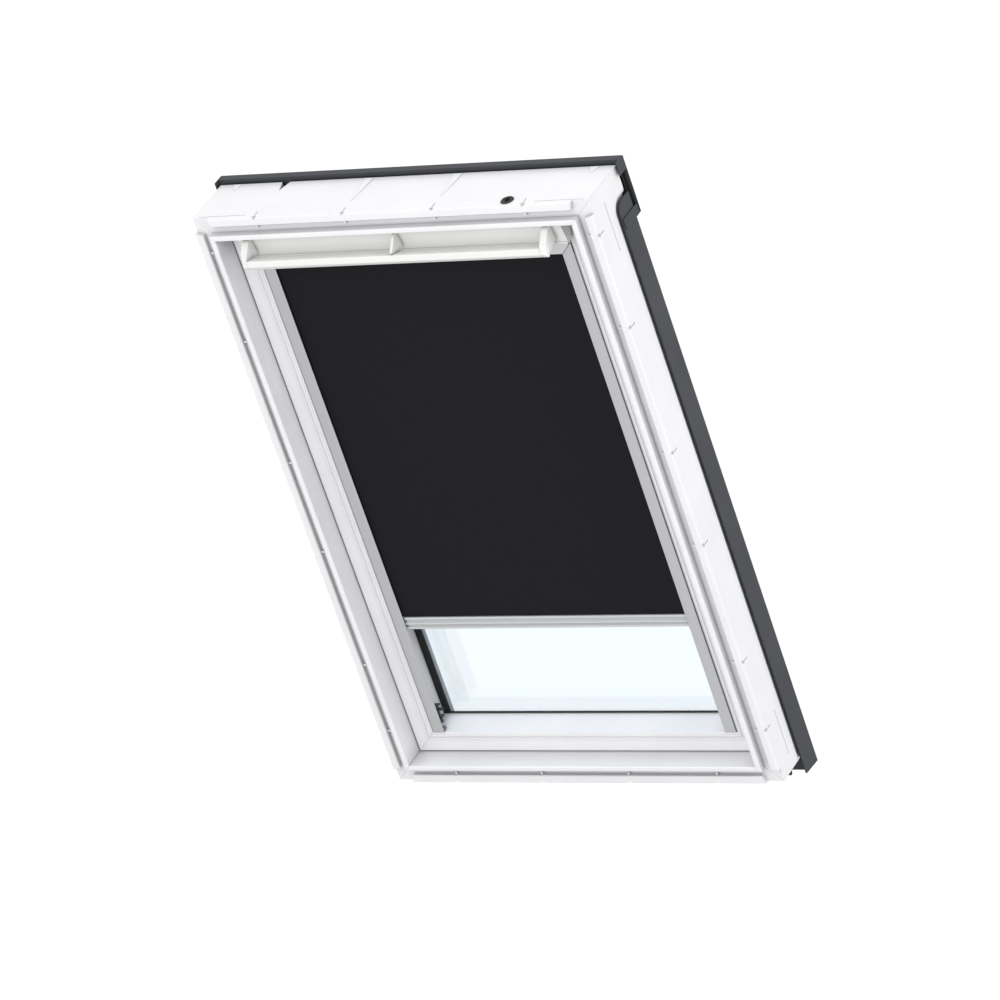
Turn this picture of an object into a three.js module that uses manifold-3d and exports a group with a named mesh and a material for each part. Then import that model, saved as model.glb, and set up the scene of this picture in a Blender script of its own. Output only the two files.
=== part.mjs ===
// A centre-pivot roof window with a blackout roller blind in its sash, seen from the room.
// X runs across the window, Y from the room out to the roof, and Z up the slope, all in millimetres.
// The window is drawn about the middle of its lining plane, and the last lines move it so that the
// origin lies on the underside of the frame.

import * as THREE from "three";
import { mergeVertices } from "three/addons/utils/BufferGeometryUtils.js";
import Module from "manifold-3d";

const wasm = await Module();
wasm.setup();

// Driving sizes
const FRAME_WIDTH = 780;
const FRAME_HEIGHT = 1178;
const FRAME_DEPTH = 125;
const FRAME_SECTION = 39.75;
const STOP_THICKNESS = 6.9;
const CASING_ROOM = 45.5;
const PIVOT_SETBACK = 28;
const SEAT_INSET = 26;
const SASH_GAP = 1.6;
const SASH_WIDTH = 42;
const SASH_BACK_INSET = 1;
const PANE = 4;
const CAVITY = 16;

// Clearances
const FIT = 0.3;
const MITRE_GAP = 0.15;
const OVERRUN = 1;
const WELD = 0.001;

// Edges that the pieces are placed from
const HALF_WIDTH = FRAME_WIDTH / 2;
const HALF_HEIGHT = FRAME_HEIGHT / 2;
const REVEAL_X = HALF_WIDTH - FRAME_SECTION;
const REVEAL_Z = HALF_HEIGHT - FRAME_SECTION;
const SASH_X = REVEAL_X - SASH_GAP;
const SASH_Z = REVEAL_Z - SASH_GAP;
const SASH_REVEAL = SASH_X - SASH_WIDTH;
const SASH_BACK = FRAME_DEPTH - SASH_BACK_INSET;
const OUTER_PANE = SASH_BACK - FIT - PANE;
const GLASS_FRONT = OUTER_PANE - CAVITY - PANE;
const STOP_BACK = GLASS_FRONT - FIT;
const STOP_FRONT = STOP_BACK - STOP_THICKNESS;
const SASH_FRONT = STOP_FRONT - CASING_ROOM;
const PIVOT_DEPTH = SASH_FRONT + PIVOT_SETBACK;

// Frame section, measured outward from the reveal
const LIP_WIDTH = 10.4;
const LIP_ROUND = 2.6;
const GROOVE_START = LIP_WIDTH;
const GROOVE_WIDTH = 14;
const TAB_START = GROOVE_START + GROOVE_WIDTH;
const GROOVE_DEPTH = 16;
const TAB_FRONT = 7;
const TAB_CHAMFER = 1.5;

// Notches that divide the outer tabs, with a slit behind each and a rib across the groove
const RAIL_NOTCH_PITCH = 176;
const RAIL_NOTCH_COUNT = 4;
const STILE_NOTCH_SHARES = [0.885, 0.58, 0.156, -0.161, -0.571, -0.813];
const NOTCH_WIDTH = 11;
const NOTCH_REACH = 3.2;
const NOTCH_DEEP = 6;
const SLIT_WIDTH = 1.5;
const SLIT_DEEP = 1.6;
const SLIT_LENGTH = 22;
const RIB_WIDTH = 4;
const RIB_REACH = 6;
const RIB_HEIGHT = 5;

// Corner blocks, where the tabs stop short with slanted ends
const RAIL_TAB_INSET = 37;
const RAIL_TAB_END = HALF_WIDTH - RAIL_TAB_INSET;
const STILE_TAB_INSET = 31;
const STILE_TAB_END = HALF_HEIGHT - STILE_TAB_INSET;
const TAB_SLANT = 4;
const CORNER_FACE = 16;
const CORNER_DOT_RADIUS = 2.6;
const CORNER_DOT_DEPTH = 6;
const CORNER_DOT_REACH = 22.6;

// Marks and pads moulded on the outer faces
const LINE_WIDTH = 1.1;
const LINE_DEPTH = 1.6;
const LINE_LENGTH = 94;
const RAIL_LINE_INSET = 106;
const RAIL_LINE_START = HALF_WIDTH - RAIL_LINE_INSET;
const RAIL_LINE_DEPTH = 18.5;
const STILE_LINE_INSET = 124;
const STILE_LINE_START = HALF_HEIGHT - STILE_LINE_INSET;
const STILE_LINE_DEPTH = 56;
const PAD_HEIGHT = 1.6;
const PAD_WIDTH = 16;
const PAD_START = 50;
const PAD_END_INSET = 3;
const PAD_TIP_WIDTH = 1.6;
const PAD_TIP_HEIGHT = 0.6;
const PAD_END = FRAME_DEPTH - PAD_END_INSET;
const PAD_OFFSET = 88;
const STUB_INSET = 38;
const STUB_OFFSET = HALF_WIDTH - STUB_INSET;
const STUB_LENGTH = 19;
const STUB_START = PAD_END - STUB_LENGTH;
const VENT_NOTCH_INSET = 133.5;
const VENT_NOTCH_OFFSET = VENT_NOTCH_INSET - HALF_WIDTH;
const VENT_NOTCH_WIDTH = 17;
const VENT_NOTCH_LENGTH = 29;
const VENT_NOTCH_START = FRAME_DEPTH - VENT_NOTCH_LENGTH;
const VENT_NOTCH_DEPTH = 10;

// Rebate in the stiles' outer faces under the side covers
const REBATE_DEPTH = 6;
const REBATE_ROUND = 12;
const REBATE_STEPS = 4;
const COVER_OVERLAP = 39;
const COVER_FRONT = FRAME_DEPTH - COVER_OVERLAP;
const COVER_TOP_INSET = 54;
const COVER_TOP = HALF_HEIGHT - COVER_TOP_INSET;
const COVER_CORNER = 20;

// Cable grommet in the top rail
const GROMMET_INSET = 160.6;
const GROMMET_OFFSET = HALF_WIDTH - GROMMET_INSET;
const GROMMET_PLACE = 25.2;
const GROMMET_RADIUS = 12;
const GROMMET_RIM = 2;
const GROMMET_STEM_RADIUS = 8;
const GROMMET_STEM = 10;
const GROMMET_HOLE_RADIUS = 5;

// Frame gasket in a slot round the opening
const GASKET_SLOT_INSET = 27;
const GASKET_SLOT_START = FRAME_DEPTH - GASKET_SLOT_INSET;
const GASKET_SLOT_WIDTH = 8;
const GASKET_SLOT_DEPTH = 3;
const GASKET_PROUD = 0.5;

// Pivot hinges at mid height
const PIVOT_PLATE_WIDTH = 30;
const PIVOT_PLATE_HEIGHT = 60;
const PIVOT_PLATE_THICKNESS = 3;
const PIVOT_PIN_RADIUS = 6;
const PIVOT_PIN_LENGTH = 7.5;
const PIVOT_BUSH_RADIUS = 13.7;
const PIVOT_BUSH_LENGTH = 8.4;

// Outside covers of sheet metal
const SHEET = 1.2;
const SIDE_COVER_STAND = 3;
const SIDE_COVER_FACE = HALF_WIDTH + SIDE_COVER_STAND;
const SIDE_COVER_REACH = 38;
const SIDE_COVER_INNER = HALF_WIDTH - SIDE_COVER_REACH;
const SIDE_COVER_HEIGHT = 7.2;
const SIDE_COVER_BACK = FRAME_DEPTH + SIDE_COVER_HEIGHT;
const SIDE_COVER_DROP = 39;
const SIDE_COVER_BOTTOM = -HALF_HEIGHT - SIDE_COVER_DROP;
const COVER_BOTTOM_SLANT = 5;
const HOOD_RISE = 8;
const HOOD_TOP = HALF_HEIGHT + HOOD_RISE;
const HOOD_STEP = 5;
const HOOD_FRONT = FRAME_DEPTH + HOOD_STEP;
const HOOD_HEIGHT = 20;
const HOOD_BACK = FRAME_DEPTH + HOOD_HEIGHT;
const HOOD_LENGTH = 110;
const HOOD_LOWER = HOOD_TOP - HOOD_LENGTH;
const HOOD_CHEEK_LENGTH = 25;
const HOOD_CHEEK_LOWER = HOOD_TOP - HOOD_CHEEK_LENGTH;
const HOOD_CHEEK_OVERLAP = 7;
const HOOD_CHEEK_FRONT = FRAME_DEPTH - HOOD_CHEEK_OVERLAP;
const HOOD_APRON_DROP = 17;
const HOOD_APRON_LOWER = HOOD_TOP - HOOD_APRON_DROP;
const CLIP_SETBACK = 2;
const CLIP_FRONT = COVER_FRONT + CLIP_SETBACK;
const CLIP_DROP = 49;
const CLIP_LOWER = COVER_TOP - CLIP_DROP;
const CLIP_HEIGHT = 19;
const CLIP_THICKNESS = 1.5;
const HOOD_FACE = SIDE_COVER_FACE + FIT + CLIP_THICKNESS + FIT + SHEET;
const RIVET_RADIUS = 2.4;
const RIVET_HEIGHT = 1.1;
const RIVET_SETBACK = 8;
const LAYER_OUTER = SIDE_COVER_FACE - SHEET * 2;
const LAYER_INSET = 11;
const LAYER_TOP = HALF_HEIGHT - LAYER_INSET;
const LAYER_OVERLAP = 35;
const LAYER_LOWER = COVER_TOP - LAYER_OVERLAP;
const LAYER_HEIGHT = 16;
const LAYER_BACK = FRAME_DEPTH + LAYER_HEIGHT;
const LAYER_COUNT = 3;
const BOTTOM_COVER_INSET = 1;
const BOTTOM_COVER_HALF = HALF_WIDTH - BOTTOM_COVER_INSET;
const BOTTOM_COVER_WALL_INSET = 33;
const BOTTOM_COVER_WALL = FRAME_DEPTH - BOTTOM_COVER_WALL_INSET;
const BOTTOM_COVER_REACH = 31;
const BOTTOM_COVER_DROP = HALF_HEIGHT + BOTTOM_COVER_REACH;
const BOTTOM_COVER_OVERLAP = 36;
const BOTTOM_COVER_UPPER = HALF_HEIGHT - BOTTOM_COVER_OVERLAP;
const BOTTOM_COVER_HEIGHT = 8;
const BOTTOM_COVER_BACK = FRAME_DEPTH + BOTTOM_COVER_HEIGHT;
const BOTTOM_COVER_FLANGE_DEPTH = 44;
const BOTTOM_COVER_FLANGE = BOTTOM_COVER_WALL - BOTTOM_COVER_FLANGE_DEPTH;
const CURL_RADIUS = 4;

// Sash section, measured inward from its outer edge
const SASH_FACE = 24.4;
const SASH_REBATE = 22;
const BEAD_RADIUS = 1.9;
const BEAD_SETBACK = 2.1;
const BEAD_PITCH = 7.4;
const BEAD_STEP = 1.6;
const BEAD_END = 39.5;
const TOP_SWEEP_RELIEF = 1.5;
const APRON_DROP = 57.65;
const APRON_LOWER = SASH_Z - APRON_DROP;
const APRON_THICKNESS = 2.4;
const APRON_HEIGHT = 20;
const APRON_ROOT = APRON_LOWER + APRON_HEIGHT;
const STOP_DROP = 16;
const STOP_LOWER = APRON_LOWER - STOP_DROP;
const SILL_WIDTH = 47.5;
const SILL_UPPER = SASH_Z - SILL_WIDTH;
const SILL_FRONT = SASH_FRONT + BEAD_STEP * 2;
const SILL_FRONT_HEIGHT = -SASH_Z + BEAD_END;
const SILL_RISE_SHARE = (-SILL_UPPER - SILL_FRONT_HEIGHT) / (STOP_BACK - SILL_FRONT);

// Glazing
const PANE_EDGE_GAP = 0.6;
const SPACER_SIGHT = 8;
const SPACER_INNER = SASH_REVEAL - SPACER_SIGHT;
const SPACER_WIDTH = 7;
const SPACER_SILL_DROP = 14;
const SPACER_LOWER = SILL_UPPER + SPACER_SILL_DROP;
const SPACER_HEAD_SIGHT = 2;
const SPACER_UPPER = STOP_LOWER - SPACER_HEAD_SIGHT;
const GLAZING_GASKET_WIDTH = 14;
const GLAZING_GASKET_DEPTH = 3;
const GLAZING_SILL_WIDTH = 1.8;
const GLAZING_SILL_DEPTH = 4;

// Sash covers on the roof side
const SASH_COVER_SETBACK = 2.75;
const SASH_COVER_WIDTH = 34.6;
const SASH_COVER_HEIGHT = 10;
const SASH_COVER_BACK = SASH_BACK + SASH_COVER_HEIGHT;
const SASH_COVER_HEAD_SIGHT = 8;
const SASH_COVER_TOP_LOWER = STOP_LOWER + SASH_COVER_HEAD_SIGHT;

// Lock in the top rail, and its striker in the frame
const LOCK_WIDTH = 90;
const LOCK_SETBACK = 13;
const LOCK_FRONT = SASH_FRONT + LOCK_SETBACK;
const LOCK_DEPTH = 26;
const LOCK_RISE = 2;
const LOCK_LOWER = APRON_ROOT + LOCK_RISE;
const LOCK_INSET = 2.15;
const LOCK_TOP = SASH_Z - LOCK_INSET;
const LATCH_WIDTH = 24;
const LATCH_THICKNESS = 8;
const LATCH_PLACE = LOCK_FRONT + LOCK_DEPTH / 2;
const LATCH_RISE = 15;
const LATCH_LOWER = LOCK_LOWER + LATCH_RISE;
const LATCH_SHORT = 0.65;
const LATCH_TOP = REVEAL_Z - LATCH_SHORT;
const STRIKER_WIDTH = 60;
const STRIKER_DEPTH = 26;
const STRIKER_RECESS = 4;

// Barrel bolt low on the left stile, and its bush in the frame
const BOLT_SETBACK = 5.15;
const BOLT_OFFSET = BOLT_SETBACK - SASH_REVEAL;
const BOLT_PLACE_SETBACK = 28;
const BOLT_PLACE = SASH_FRONT + BOLT_PLACE_SETBACK;
const BOLT_RADIUS = 2.7;
const BOLT_RISE = 34.15;
const BOLT_TOP = BOLT_RISE - SILL_UPPER;
const BOLT_SHORT = 0.35;
const BOLT_TIP = BOLT_SHORT - SASH_Z;
const BOLT_TRAVEL = 12;
const BOLT_KNOB_DROP = 10.5;
const BOLT_KNOB_PLACE = BOLT_TOP - BOLT_KNOB_DROP;
const BOLT_KNOB_RADIUS = 3;
const BOLT_KNOB_LENGTH = 12;
const BOLT_PLATE = 2.2;
const BOLT_BRACKET_WIDTH = 14;
const BOLT_BRACKET_DROP = 2.5;
const BOLT_BRACKET_UPPER = BOLT_TOP - BOLT_BRACKET_DROP;
const BOLT_BRACKET_HEIGHT = 26.5;
const BOLT_BRACKET_LOWER = BOLT_BRACKET_UPPER - BOLT_BRACKET_HEIGHT;
const BOLT_BRACKET_REACH = 9.4;
const BOLT_EAR = 2.5;
const BOLT_BUSH_RADIUS = 6;
const BOLT_BUSH_LENGTH = 14;

// Ventilation flap, which turns on pins low behind its front
const FLAP_REACH = 11.35;
const FLAP_HALF = SASH_REVEAL + FLAP_REACH;
const FLAP_WALL = 2;
const FLAP_END_WALL = 3;
const FLAP_TOP_INSET = 1.65;
const FLAP_TOP = SASH_Z - FLAP_TOP_INSET;
const FLAP_HEIGHT = 43.2;
const FLAP_BOTTOM = FLAP_TOP - FLAP_HEIGHT;
const FLAP_PROUD = 30;
const FLAP_CREST = SASH_FRONT - FLAP_PROUD;
const FLAP_LEAN = 7.5;
const FLAP_FRONT_SHARES = [[0, 0], [0.12, 0.2], [0.36, 0.4], [0.62, 0.6], [0.8, 0.78], [0.93, 0.9], [0.9, 1]];
const FLAP_BACK_GAP = 3;
const FLAP_BACK = SASH_FRONT - FLAP_BACK_GAP;
const FLAP_FLOOR_GAP = 7;
const FLAP_FLOOR_BACK = SASH_FRONT - FLAP_FLOOR_GAP;
const FLAP_LIP_SETBACK = 5.6;
const FLAP_LIP_FRONT = FLAP_CREST + FLAP_LIP_SETBACK;
const FLAP_LIP_HEIGHT = 3;
const FLAP_PIVOT_GAP = 5;
const FLAP_PIVOT_DEPTH = SASH_FRONT - FLAP_PIVOT_GAP;
const FLAP_PIVOT_RISE = 7.2;
const FLAP_PIVOT_HEIGHT = FLAP_BOTTOM + FLAP_PIVOT_RISE;
const FLAP_PIN_RADIUS = 2.5;
const FLAP_EAR_INSET = 6;
const FLAP_EAR_OUTER = FLAP_HALF - FLAP_EAR_INSET;
const FLAP_EAR_THICKNESS = 4;
const FLAP_EAR_RADIUS = 3.9;
const FLAP_BASE_LENGTH = 18;
const FLAP_BASE_RISE = 9;
const FLAP_BASE_UPPER = FLAP_PIVOT_HEIGHT + FLAP_BASE_RISE;
const FLAP_BASE_DROP = 2.6;
const FLAP_BASE_LOWER = FLAP_PIVOT_HEIGHT - FLAP_BASE_DROP;
const FLAP_BASE_THICKNESS = 3;

// Control bar of a thin wing section, and its carriers
const BAR_INSET = 6.15;
const BAR_HALF = SASH_REVEAL - BAR_INSET;
const BAR_REACH = 39;
const BAR_FRONT = FLAP_CREST - BAR_REACH;
const BAR_DEPTH = 33.5;
const BAR_DROP = 1.6;
const BAR_LOWER = FLAP_BOTTOM - BAR_DROP;
const BAR_HEIGHT = 17.2;
const BAR_OUTLINE_SHARES = [
  [0.02, 0.92], [0.09, 0.99], [0.2, 1], [0.37, 0.95], [0.66, 0.77], [0.94, 0.58], [1, 0.53],
  [0.98, 0.46], [0.8, 0.44], [0.6, 0.47], [0.42, 0.36], [0.26, 0.15], [0.15, 0.02], [0.06, 0],
  [0, 0.4], [0, 0.85],
];
const CARRIER_TOP_INSET = 1;
const CARRIER_TOP = FLAP_TOP - CARRIER_TOP_INSET;
const CARRIER_END_WIDTH = 12.4;
const CARRIER_MIDDLE_WIDTH = 4.4;
const CARRIER_FRONT_SHARES = [[0, 0.15], [0.08, 0.33], [0.33, 0.6], [0.62, 0.82], [0.95, 1]];
const CARRIER_HEEL_RISE = 11.8;
const CARRIER_HEEL = BAR_LOWER + CARRIER_HEEL_RISE;
const CARRIER_ROUND = 5;

// Blind
const BLIND_PROUD = 0.2;
const BLIND_FRONT = SASH_FRONT - BLIND_PROUD;
const CHANNEL_HALF = SASH_REVEAL - FIT;
const CHANNEL_FACE = 21.8;
const CHANNEL_INNER = CHANNEL_HALF - CHANNEL_FACE;
const CHANNEL_DEPTH = 13.4;
const CHANNEL_WALL = 1.4;
const CHANNEL_BACK_INSET = 11;
const FABRIC_SETBACK = 5;
const FABRIC_FRONT = BLIND_FRONT + FABRIC_SETBACK;
const FABRIC_THICKNESS = 0.8;
const ROLL_RADIUS = 13;
const ROLL_PLACE = FABRIC_FRONT + FABRIC_THICKNESS + FIT + ROLL_RADIUS;
const ROLL_GAP = 4.1;
const CASING_WALL = 1.2;
const CASING_BACK = ROLL_PLACE + ROLL_RADIUS + ROLL_GAP + CASING_WALL;
const CASING_DROP = 21.3;
const CASING_LOWER = APRON_LOWER - CASING_DROP;
const CASING_LIP_DROP = 1;
const CASING_LIP_UPPER = APRON_LOWER - CASING_LIP_DROP;
const CASING_HEAD_GAP = 1.4;
const CASING_UPPER = APRON_ROOT - CASING_HEAD_GAP;
const CASING_INSET = 4.45;
const CASING_HALF = SASH_REVEAL - CASING_INSET;
const CASING_SLOT_DEPTH = 7.7;
const CASING_SLOT_BACK = BLIND_FRONT + CASING_SLOT_DEPTH;
const CASING_END = 2.4;
const BRACKET_RISE = 3.3;
const BRACKET_LOWER = CASING_LOWER + BRACKET_RISE;
const BRACKET_DROP = 3.6;
const BRACKET_UPPER = CASING_UPPER - BRACKET_DROP;
const BRACKET_SETBACK = 9.2;
const BRACKET_FRONT = BLIND_FRONT + BRACKET_SETBACK;
const BRACKET_BACK_SETBACK = 4.2;
const BRACKET_BACK = CASING_BACK - BRACKET_BACK_SETBACK;
const TUBE_RADIUS = 11;
const TUBE_WALL = 1;
const TUBE_INSET = 6.2;
const TUBE_HALF = CASING_HALF - TUBE_INSET;
const PLUG_LENGTH = 18;
const PLUG_FLANGE_RADIUS = 10.8;
const ROLL_DROP = 19.6;
const ROLL_HEIGHT = CASING_UPPER - ROLL_DROP;
const FABRIC_INSET = 7.85;
const FABRIC_HALF = CHANNEL_HALF - FABRIC_INSET;
const BLIND_RAISED = 238.15;
const BOTTOM_BAR_UPPER = BLIND_RAISED - SILL_UPPER;
const BOTTOM_BAR_HEIGHT = 25;
const BOTTOM_BAR_SETBACK = 1.6;
const BOTTOM_BAR_FRONT = BLIND_FRONT + BOTTOM_BAR_SETBACK;
const BOTTOM_BAR_DEPTH = 9;
const BOTTOM_BAR_RELIEF = 3.2;
const BOTTOM_BAR_FACE_SHARES = [
  [0.6, 0], [0.35, 0.03], [0.35, 0.19], [0.8, 0.24], [0.95, 0.33], [0.7, 0.41], [0.15, 0.46],
  [0, 0.51], [0.05, 0.57], [0.35, 0.62], [1, 0.67], [1, 0.78], [0.5, 0.84], [0.3, 0.9],
  [0.35, 0.97], [0.6, 1],
];
const RUNNER_LENGTH = 17;
const RUNNER_HEIGHT = 15;
const END_STOP_HEIGHT = 5;

// Places that follow from the sizes above
const ARC_STEPS = 4;
const ROUND_SIDES = 20;

// Materials
const finish = (color, roughness, metalness = 0) =>
  new THREE.MeshStandardMaterial({ color, roughness, metalness });
const FRAME_WHITE = finish(0xf6f6f8, 0.45);
const SASH_WHITE = finish(0xe4e4e7, 0.4);
const FLAP_WHITE = finish(0xe9e8e2, 0.4);
const COVER_GREY = finish(0x535457, 0.5, 0.4);
const RUBBER_BLACK = finish(0x141416, 0.8);
const STEEL = finish(0xa9abad, 0.35, 0.9);
const CHANNEL_GREY = finish(0xb4b4b6, 0.4, 0.6);
const BLACKOUT = finish(0x232226, 0.9);
const GLASS = finish(0xf4fbfd, 0.05);

const roofWindow = new THREE.Group();

/** Adds a named piece to the window, with a material of its own. */
function add(name, geometry, material) {
  const mesh = new THREE.Mesh(geometry, material.clone());
  mesh.name = name;
  roofWindow.add(mesh);
}

/** A closed geometry as a solid that can be joined and cut. */
function toSolid(geometry) {
  const source = geometry.index ? geometry.toNonIndexed() : geometry;
  const bare = new THREE.BufferGeometry().setAttribute("position", source.getAttribute("position"));
  const merged = mergeVertices(bare, WELD);
  return new wasm.Manifold(
    new wasm.Mesh({
      numProp: 3,
      vertProperties: merged.attributes.position.array,
      triVerts: new Uint32Array(merged.index.array),
    }),
  );
}

/** A solid back as a geometry. */
function toGeometry(solid) {
  const mesh = solid.getMesh();
  return new THREE.BufferGeometry()
    .setAttribute("position", new THREE.BufferAttribute(new Float32Array(mesh.vertProperties), 3))
    .setIndex(new THREE.BufferAttribute(new Uint32Array(mesh.triVerts), 1));
}

/** The first geometry with all the others cut out of it. */
function cut(geometry, cutters) {
  return toGeometry(cutters.reduce((solid, cutter) => solid.subtract(toSolid(cutter)), toSolid(geometry)));
}

/** All the geometries as one. */
function join(geometries) {
  return toGeometry(geometries.map(toSolid).reduce((whole, solid) => whole.add(solid)));
}

/** A flat outline pushed out by a length, before it is turned to its place. */
function extrude(points, length) {
  const shape = new THREE.Shape(points.map(([a, b]) => new THREE.Vector2(a, b)));
  return new THREE.ExtrudeGeometry(shape, { depth: length, bevelEnabled: false });
}

/** An outline of [y, z] points pushed along X. */
function alongX(points, from, to) {
  const turn = new THREE.Matrix4().set(0, 0, 1, from, 1, 0, 0, 0, 0, 1, 0, 0, 0, 0, 0, 1);
  return extrude(points, to - from).applyMatrix4(turn);
}

/** An outline of [x, z] points pushed along Y. */
function alongY(points, from, to) {
  const turn = new THREE.Matrix4().set(1, 0, 0, 0, 0, 0, -1, to, 0, 1, 0, 0, 0, 0, 0, 1);
  return extrude(points, to - from).applyMatrix4(turn);
}

/** An outline of [x, y] points pushed along Z. */
function alongZ(points, from, to) {
  return extrude(points, to - from).translate(0, 0, from);
}

/** A block between two corners. */
function block(x0, x1, y0, y1, z0, z1) {
  return alongZ([[x0, y0], [x1, y0], [x1, y1], [x0, y1]], z0, z1);
}

/** A round bar along one axis, between two places on it. */
function bar(axis, radius, from, to, centre, sides = ROUND_SIDES) {
  const made = new THREE.CylinderGeometry(radius, radius, to - from, sides);
  const middle = (from + to) / 2;
  if (axis === "x") return made.rotateZ(-Math.PI / 2).translate(middle, centre[0], centre[1]);
  if (axis === "y") return made.translate(centre[0], middle, centre[1]);
  return made.rotateX(Math.PI / 2).translate(centre[0], centre[1], middle);
}

/** Points of an arc, angles in quarter turns from the first axis. */
function arc(centreA, centreB, radius, startQuarter, endQuarter, steps = ARC_STEPS) {
  return Array.from({ length: steps + 1 }, (_, i) => {
    const angle = ((startQuarter + ((endQuarter - startQuarter) * i) / steps) * Math.PI) / 2;
    return [centreA + radius * Math.cos(angle), centreB + radius * Math.sin(angle)];
  });
}

/** A geometry mirrored left to right, with its faces turned to point out again. */
function mirrored(geometry) {
  const flat = geometry.index ? geometry.toNonIndexed() : geometry.clone();
  const source = flat.getAttribute("position");
  const made = new Float32Array(source.count * 3);
  for (let i = 0; i < source.count; i += 1) {
    const corner = i % 3;
    const from = corner === 0 ? i : corner === 1 ? i + 1 : i - 1;
    made[i * 3] = -source.getX(from);
    made[i * 3 + 1] = source.getY(from);
    made[i * 3 + 2] = source.getZ(from);
  }
  return new THREE.BufferGeometry().setAttribute("position", new THREE.BufferAttribute(made, 3));
}

/** Adds a right-hand piece and its mirror image on the left. */
function addPair(name, geometry, material) {
  add(`${name}_right`, geometry, material);
  add(`${name}_left`, mirrored(geometry), material);
}

/** A closed skin through convex rings that have equal point counts. */
function loft(rings) {
  const count = rings[0].length;
  const corners = rings.flat();
  const faces = [];
  for (let r = 0; r < rings.length - 1; r += 1) {
    for (let i = 0; i < count; i += 1) {
      const a = r * count + i;
      const b = r * count + ((i + 1) % count);
      faces.push(a, b, b + count, a, b + count, a + count);
    }
  }
  const last = (rings.length - 1) * count;
  for (let i = 1; i < count - 1; i += 1) {
    faces.push(0, i + 1, i, last, last + i, last + i + 1);
  }
  return new THREE.BufferGeometry()
    .setAttribute("position", new THREE.BufferAttribute(new Float32Array(corners.flat()), 3))
    .setIndex(faces);
}

/** One side of a mitred surround. The outline gives [outward, y] from a rectangle of the given half
 * sizes, and the ends are cut at 45 degrees so that the four sides meet at its corners. */
function mitredSide(side, outline, halfX, halfZ) {
  const upright = side === "left" || side === "right";
  const half = upright ? halfX : halfZ;
  const otherHalf = upright ? halfZ : halfX;
  const made = extrude(outline, 1);
  const place = made.getAttribute("position");
  const outX = side === "right" ? 1 : side === "left" ? -1 : 0;
  const outZ = side === "top" ? 1 : side === "bottom" ? -1 : 0;
  for (let i = 0; i < place.count; i += 1) {
    const outward = place.getX(i);
    const end = place.getZ(i) > 0.5 ? 1 : -1;
    const along = end * (otherHalf + outward - MITRE_GAP);
    const x = upright ? outX * (half + outward) : -outZ * along;
    const z = upright ? outX * along : outZ * (half + outward);
    place.setXYZ(i, x, place.getY(i), z);
  }
  made.deleteAttribute("normal");
  made.deleteAttribute("uv");
  return made;
}

const SIDES = ["top", "bottom", "left", "right"];

/** The frame's section, with the rounded lip, the lining groove and the outer tab. */
function frameOutline() {
  return [
    ...arc(LIP_ROUND, LIP_ROUND, LIP_ROUND, 2, 3),
    ...arc(LIP_WIDTH - LIP_ROUND, LIP_ROUND, LIP_ROUND, 3, 4),
    [GROOVE_START, GROOVE_DEPTH],
    [TAB_START, GROOVE_DEPTH],
    [TAB_START, TAB_FRONT + TAB_CHAMFER],
    [TAB_START + TAB_CHAMFER, TAB_FRONT],
    [FRAME_SECTION - TAB_CHAMFER, TAB_FRONT],
    [FRAME_SECTION, TAB_FRONT + TAB_CHAMFER],
    [FRAME_SECTION, FRAME_DEPTH],
    [0, FRAME_DEPTH],
    [0, GASKET_SLOT_START + GASKET_SLOT_WIDTH],
    [GASKET_SLOT_DEPTH, GASKET_SLOT_START + GASKET_SLOT_WIDTH],
    [GASKET_SLOT_DEPTH, GASKET_SLOT_START],
    [0, GASKET_SLOT_START],
  ];
}

/** A piece drawn for the top rail (across, y, outward from the reveal), set on any side. */
function onSide(side, build) {
  const turns = { top: 0, right: 1, bottom: 2, left: 3 }[side];
  const half = turns % 2 === 0 ? REVEAL_Z : REVEAL_X;
  return build(half).applyMatrix4(new THREE.Matrix4().makeRotationY((turns * Math.PI) / 2));
}

/** The corner region of the frame's front, outside the lip, cut back to the corner face. */
function cornerCutter(signX, signZ) {
  const outerX = HALF_WIDTH + OVERRUN;
  const outerZ = HALF_HEIGHT + OVERRUN;
  const lipX = REVEAL_X + LIP_WIDTH + FIT;
  const lipZ = REVEAL_Z + LIP_WIDTH + FIT;
  const plan = [
    [RAIL_TAB_END, REVEAL_Z + TAB_START - FIT],
    [RAIL_TAB_END + TAB_SLANT, outerZ],
    [outerX, outerZ],
    [outerX, STILE_TAB_END + TAB_SLANT],
    [REVEAL_X + TAB_START - FIT, STILE_TAB_END],
    [REVEAL_X + TAB_START - FIT, lipZ],
    [lipX, lipZ],
    [RAIL_TAB_END, lipZ],
  ];
  return alongY(plan.map(([x, z]) => [signX * x, signZ * z]), TAB_FRONT - OVERRUN, CORNER_FACE);
}

/** Places of the notches along one side of the frame. */
function notchPlaces(side) {
  if (side === "left" || side === "right") {
    return STILE_NOTCH_SHARES.map((share) => share * HALF_HEIGHT);
  }
  const middle = (RAIL_NOTCH_COUNT - 1) / 2;
  return Array.from({ length: RAIL_NOTCH_COUNT }, (_, i) => (i - middle) * RAIL_NOTCH_PITCH);
}

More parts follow.
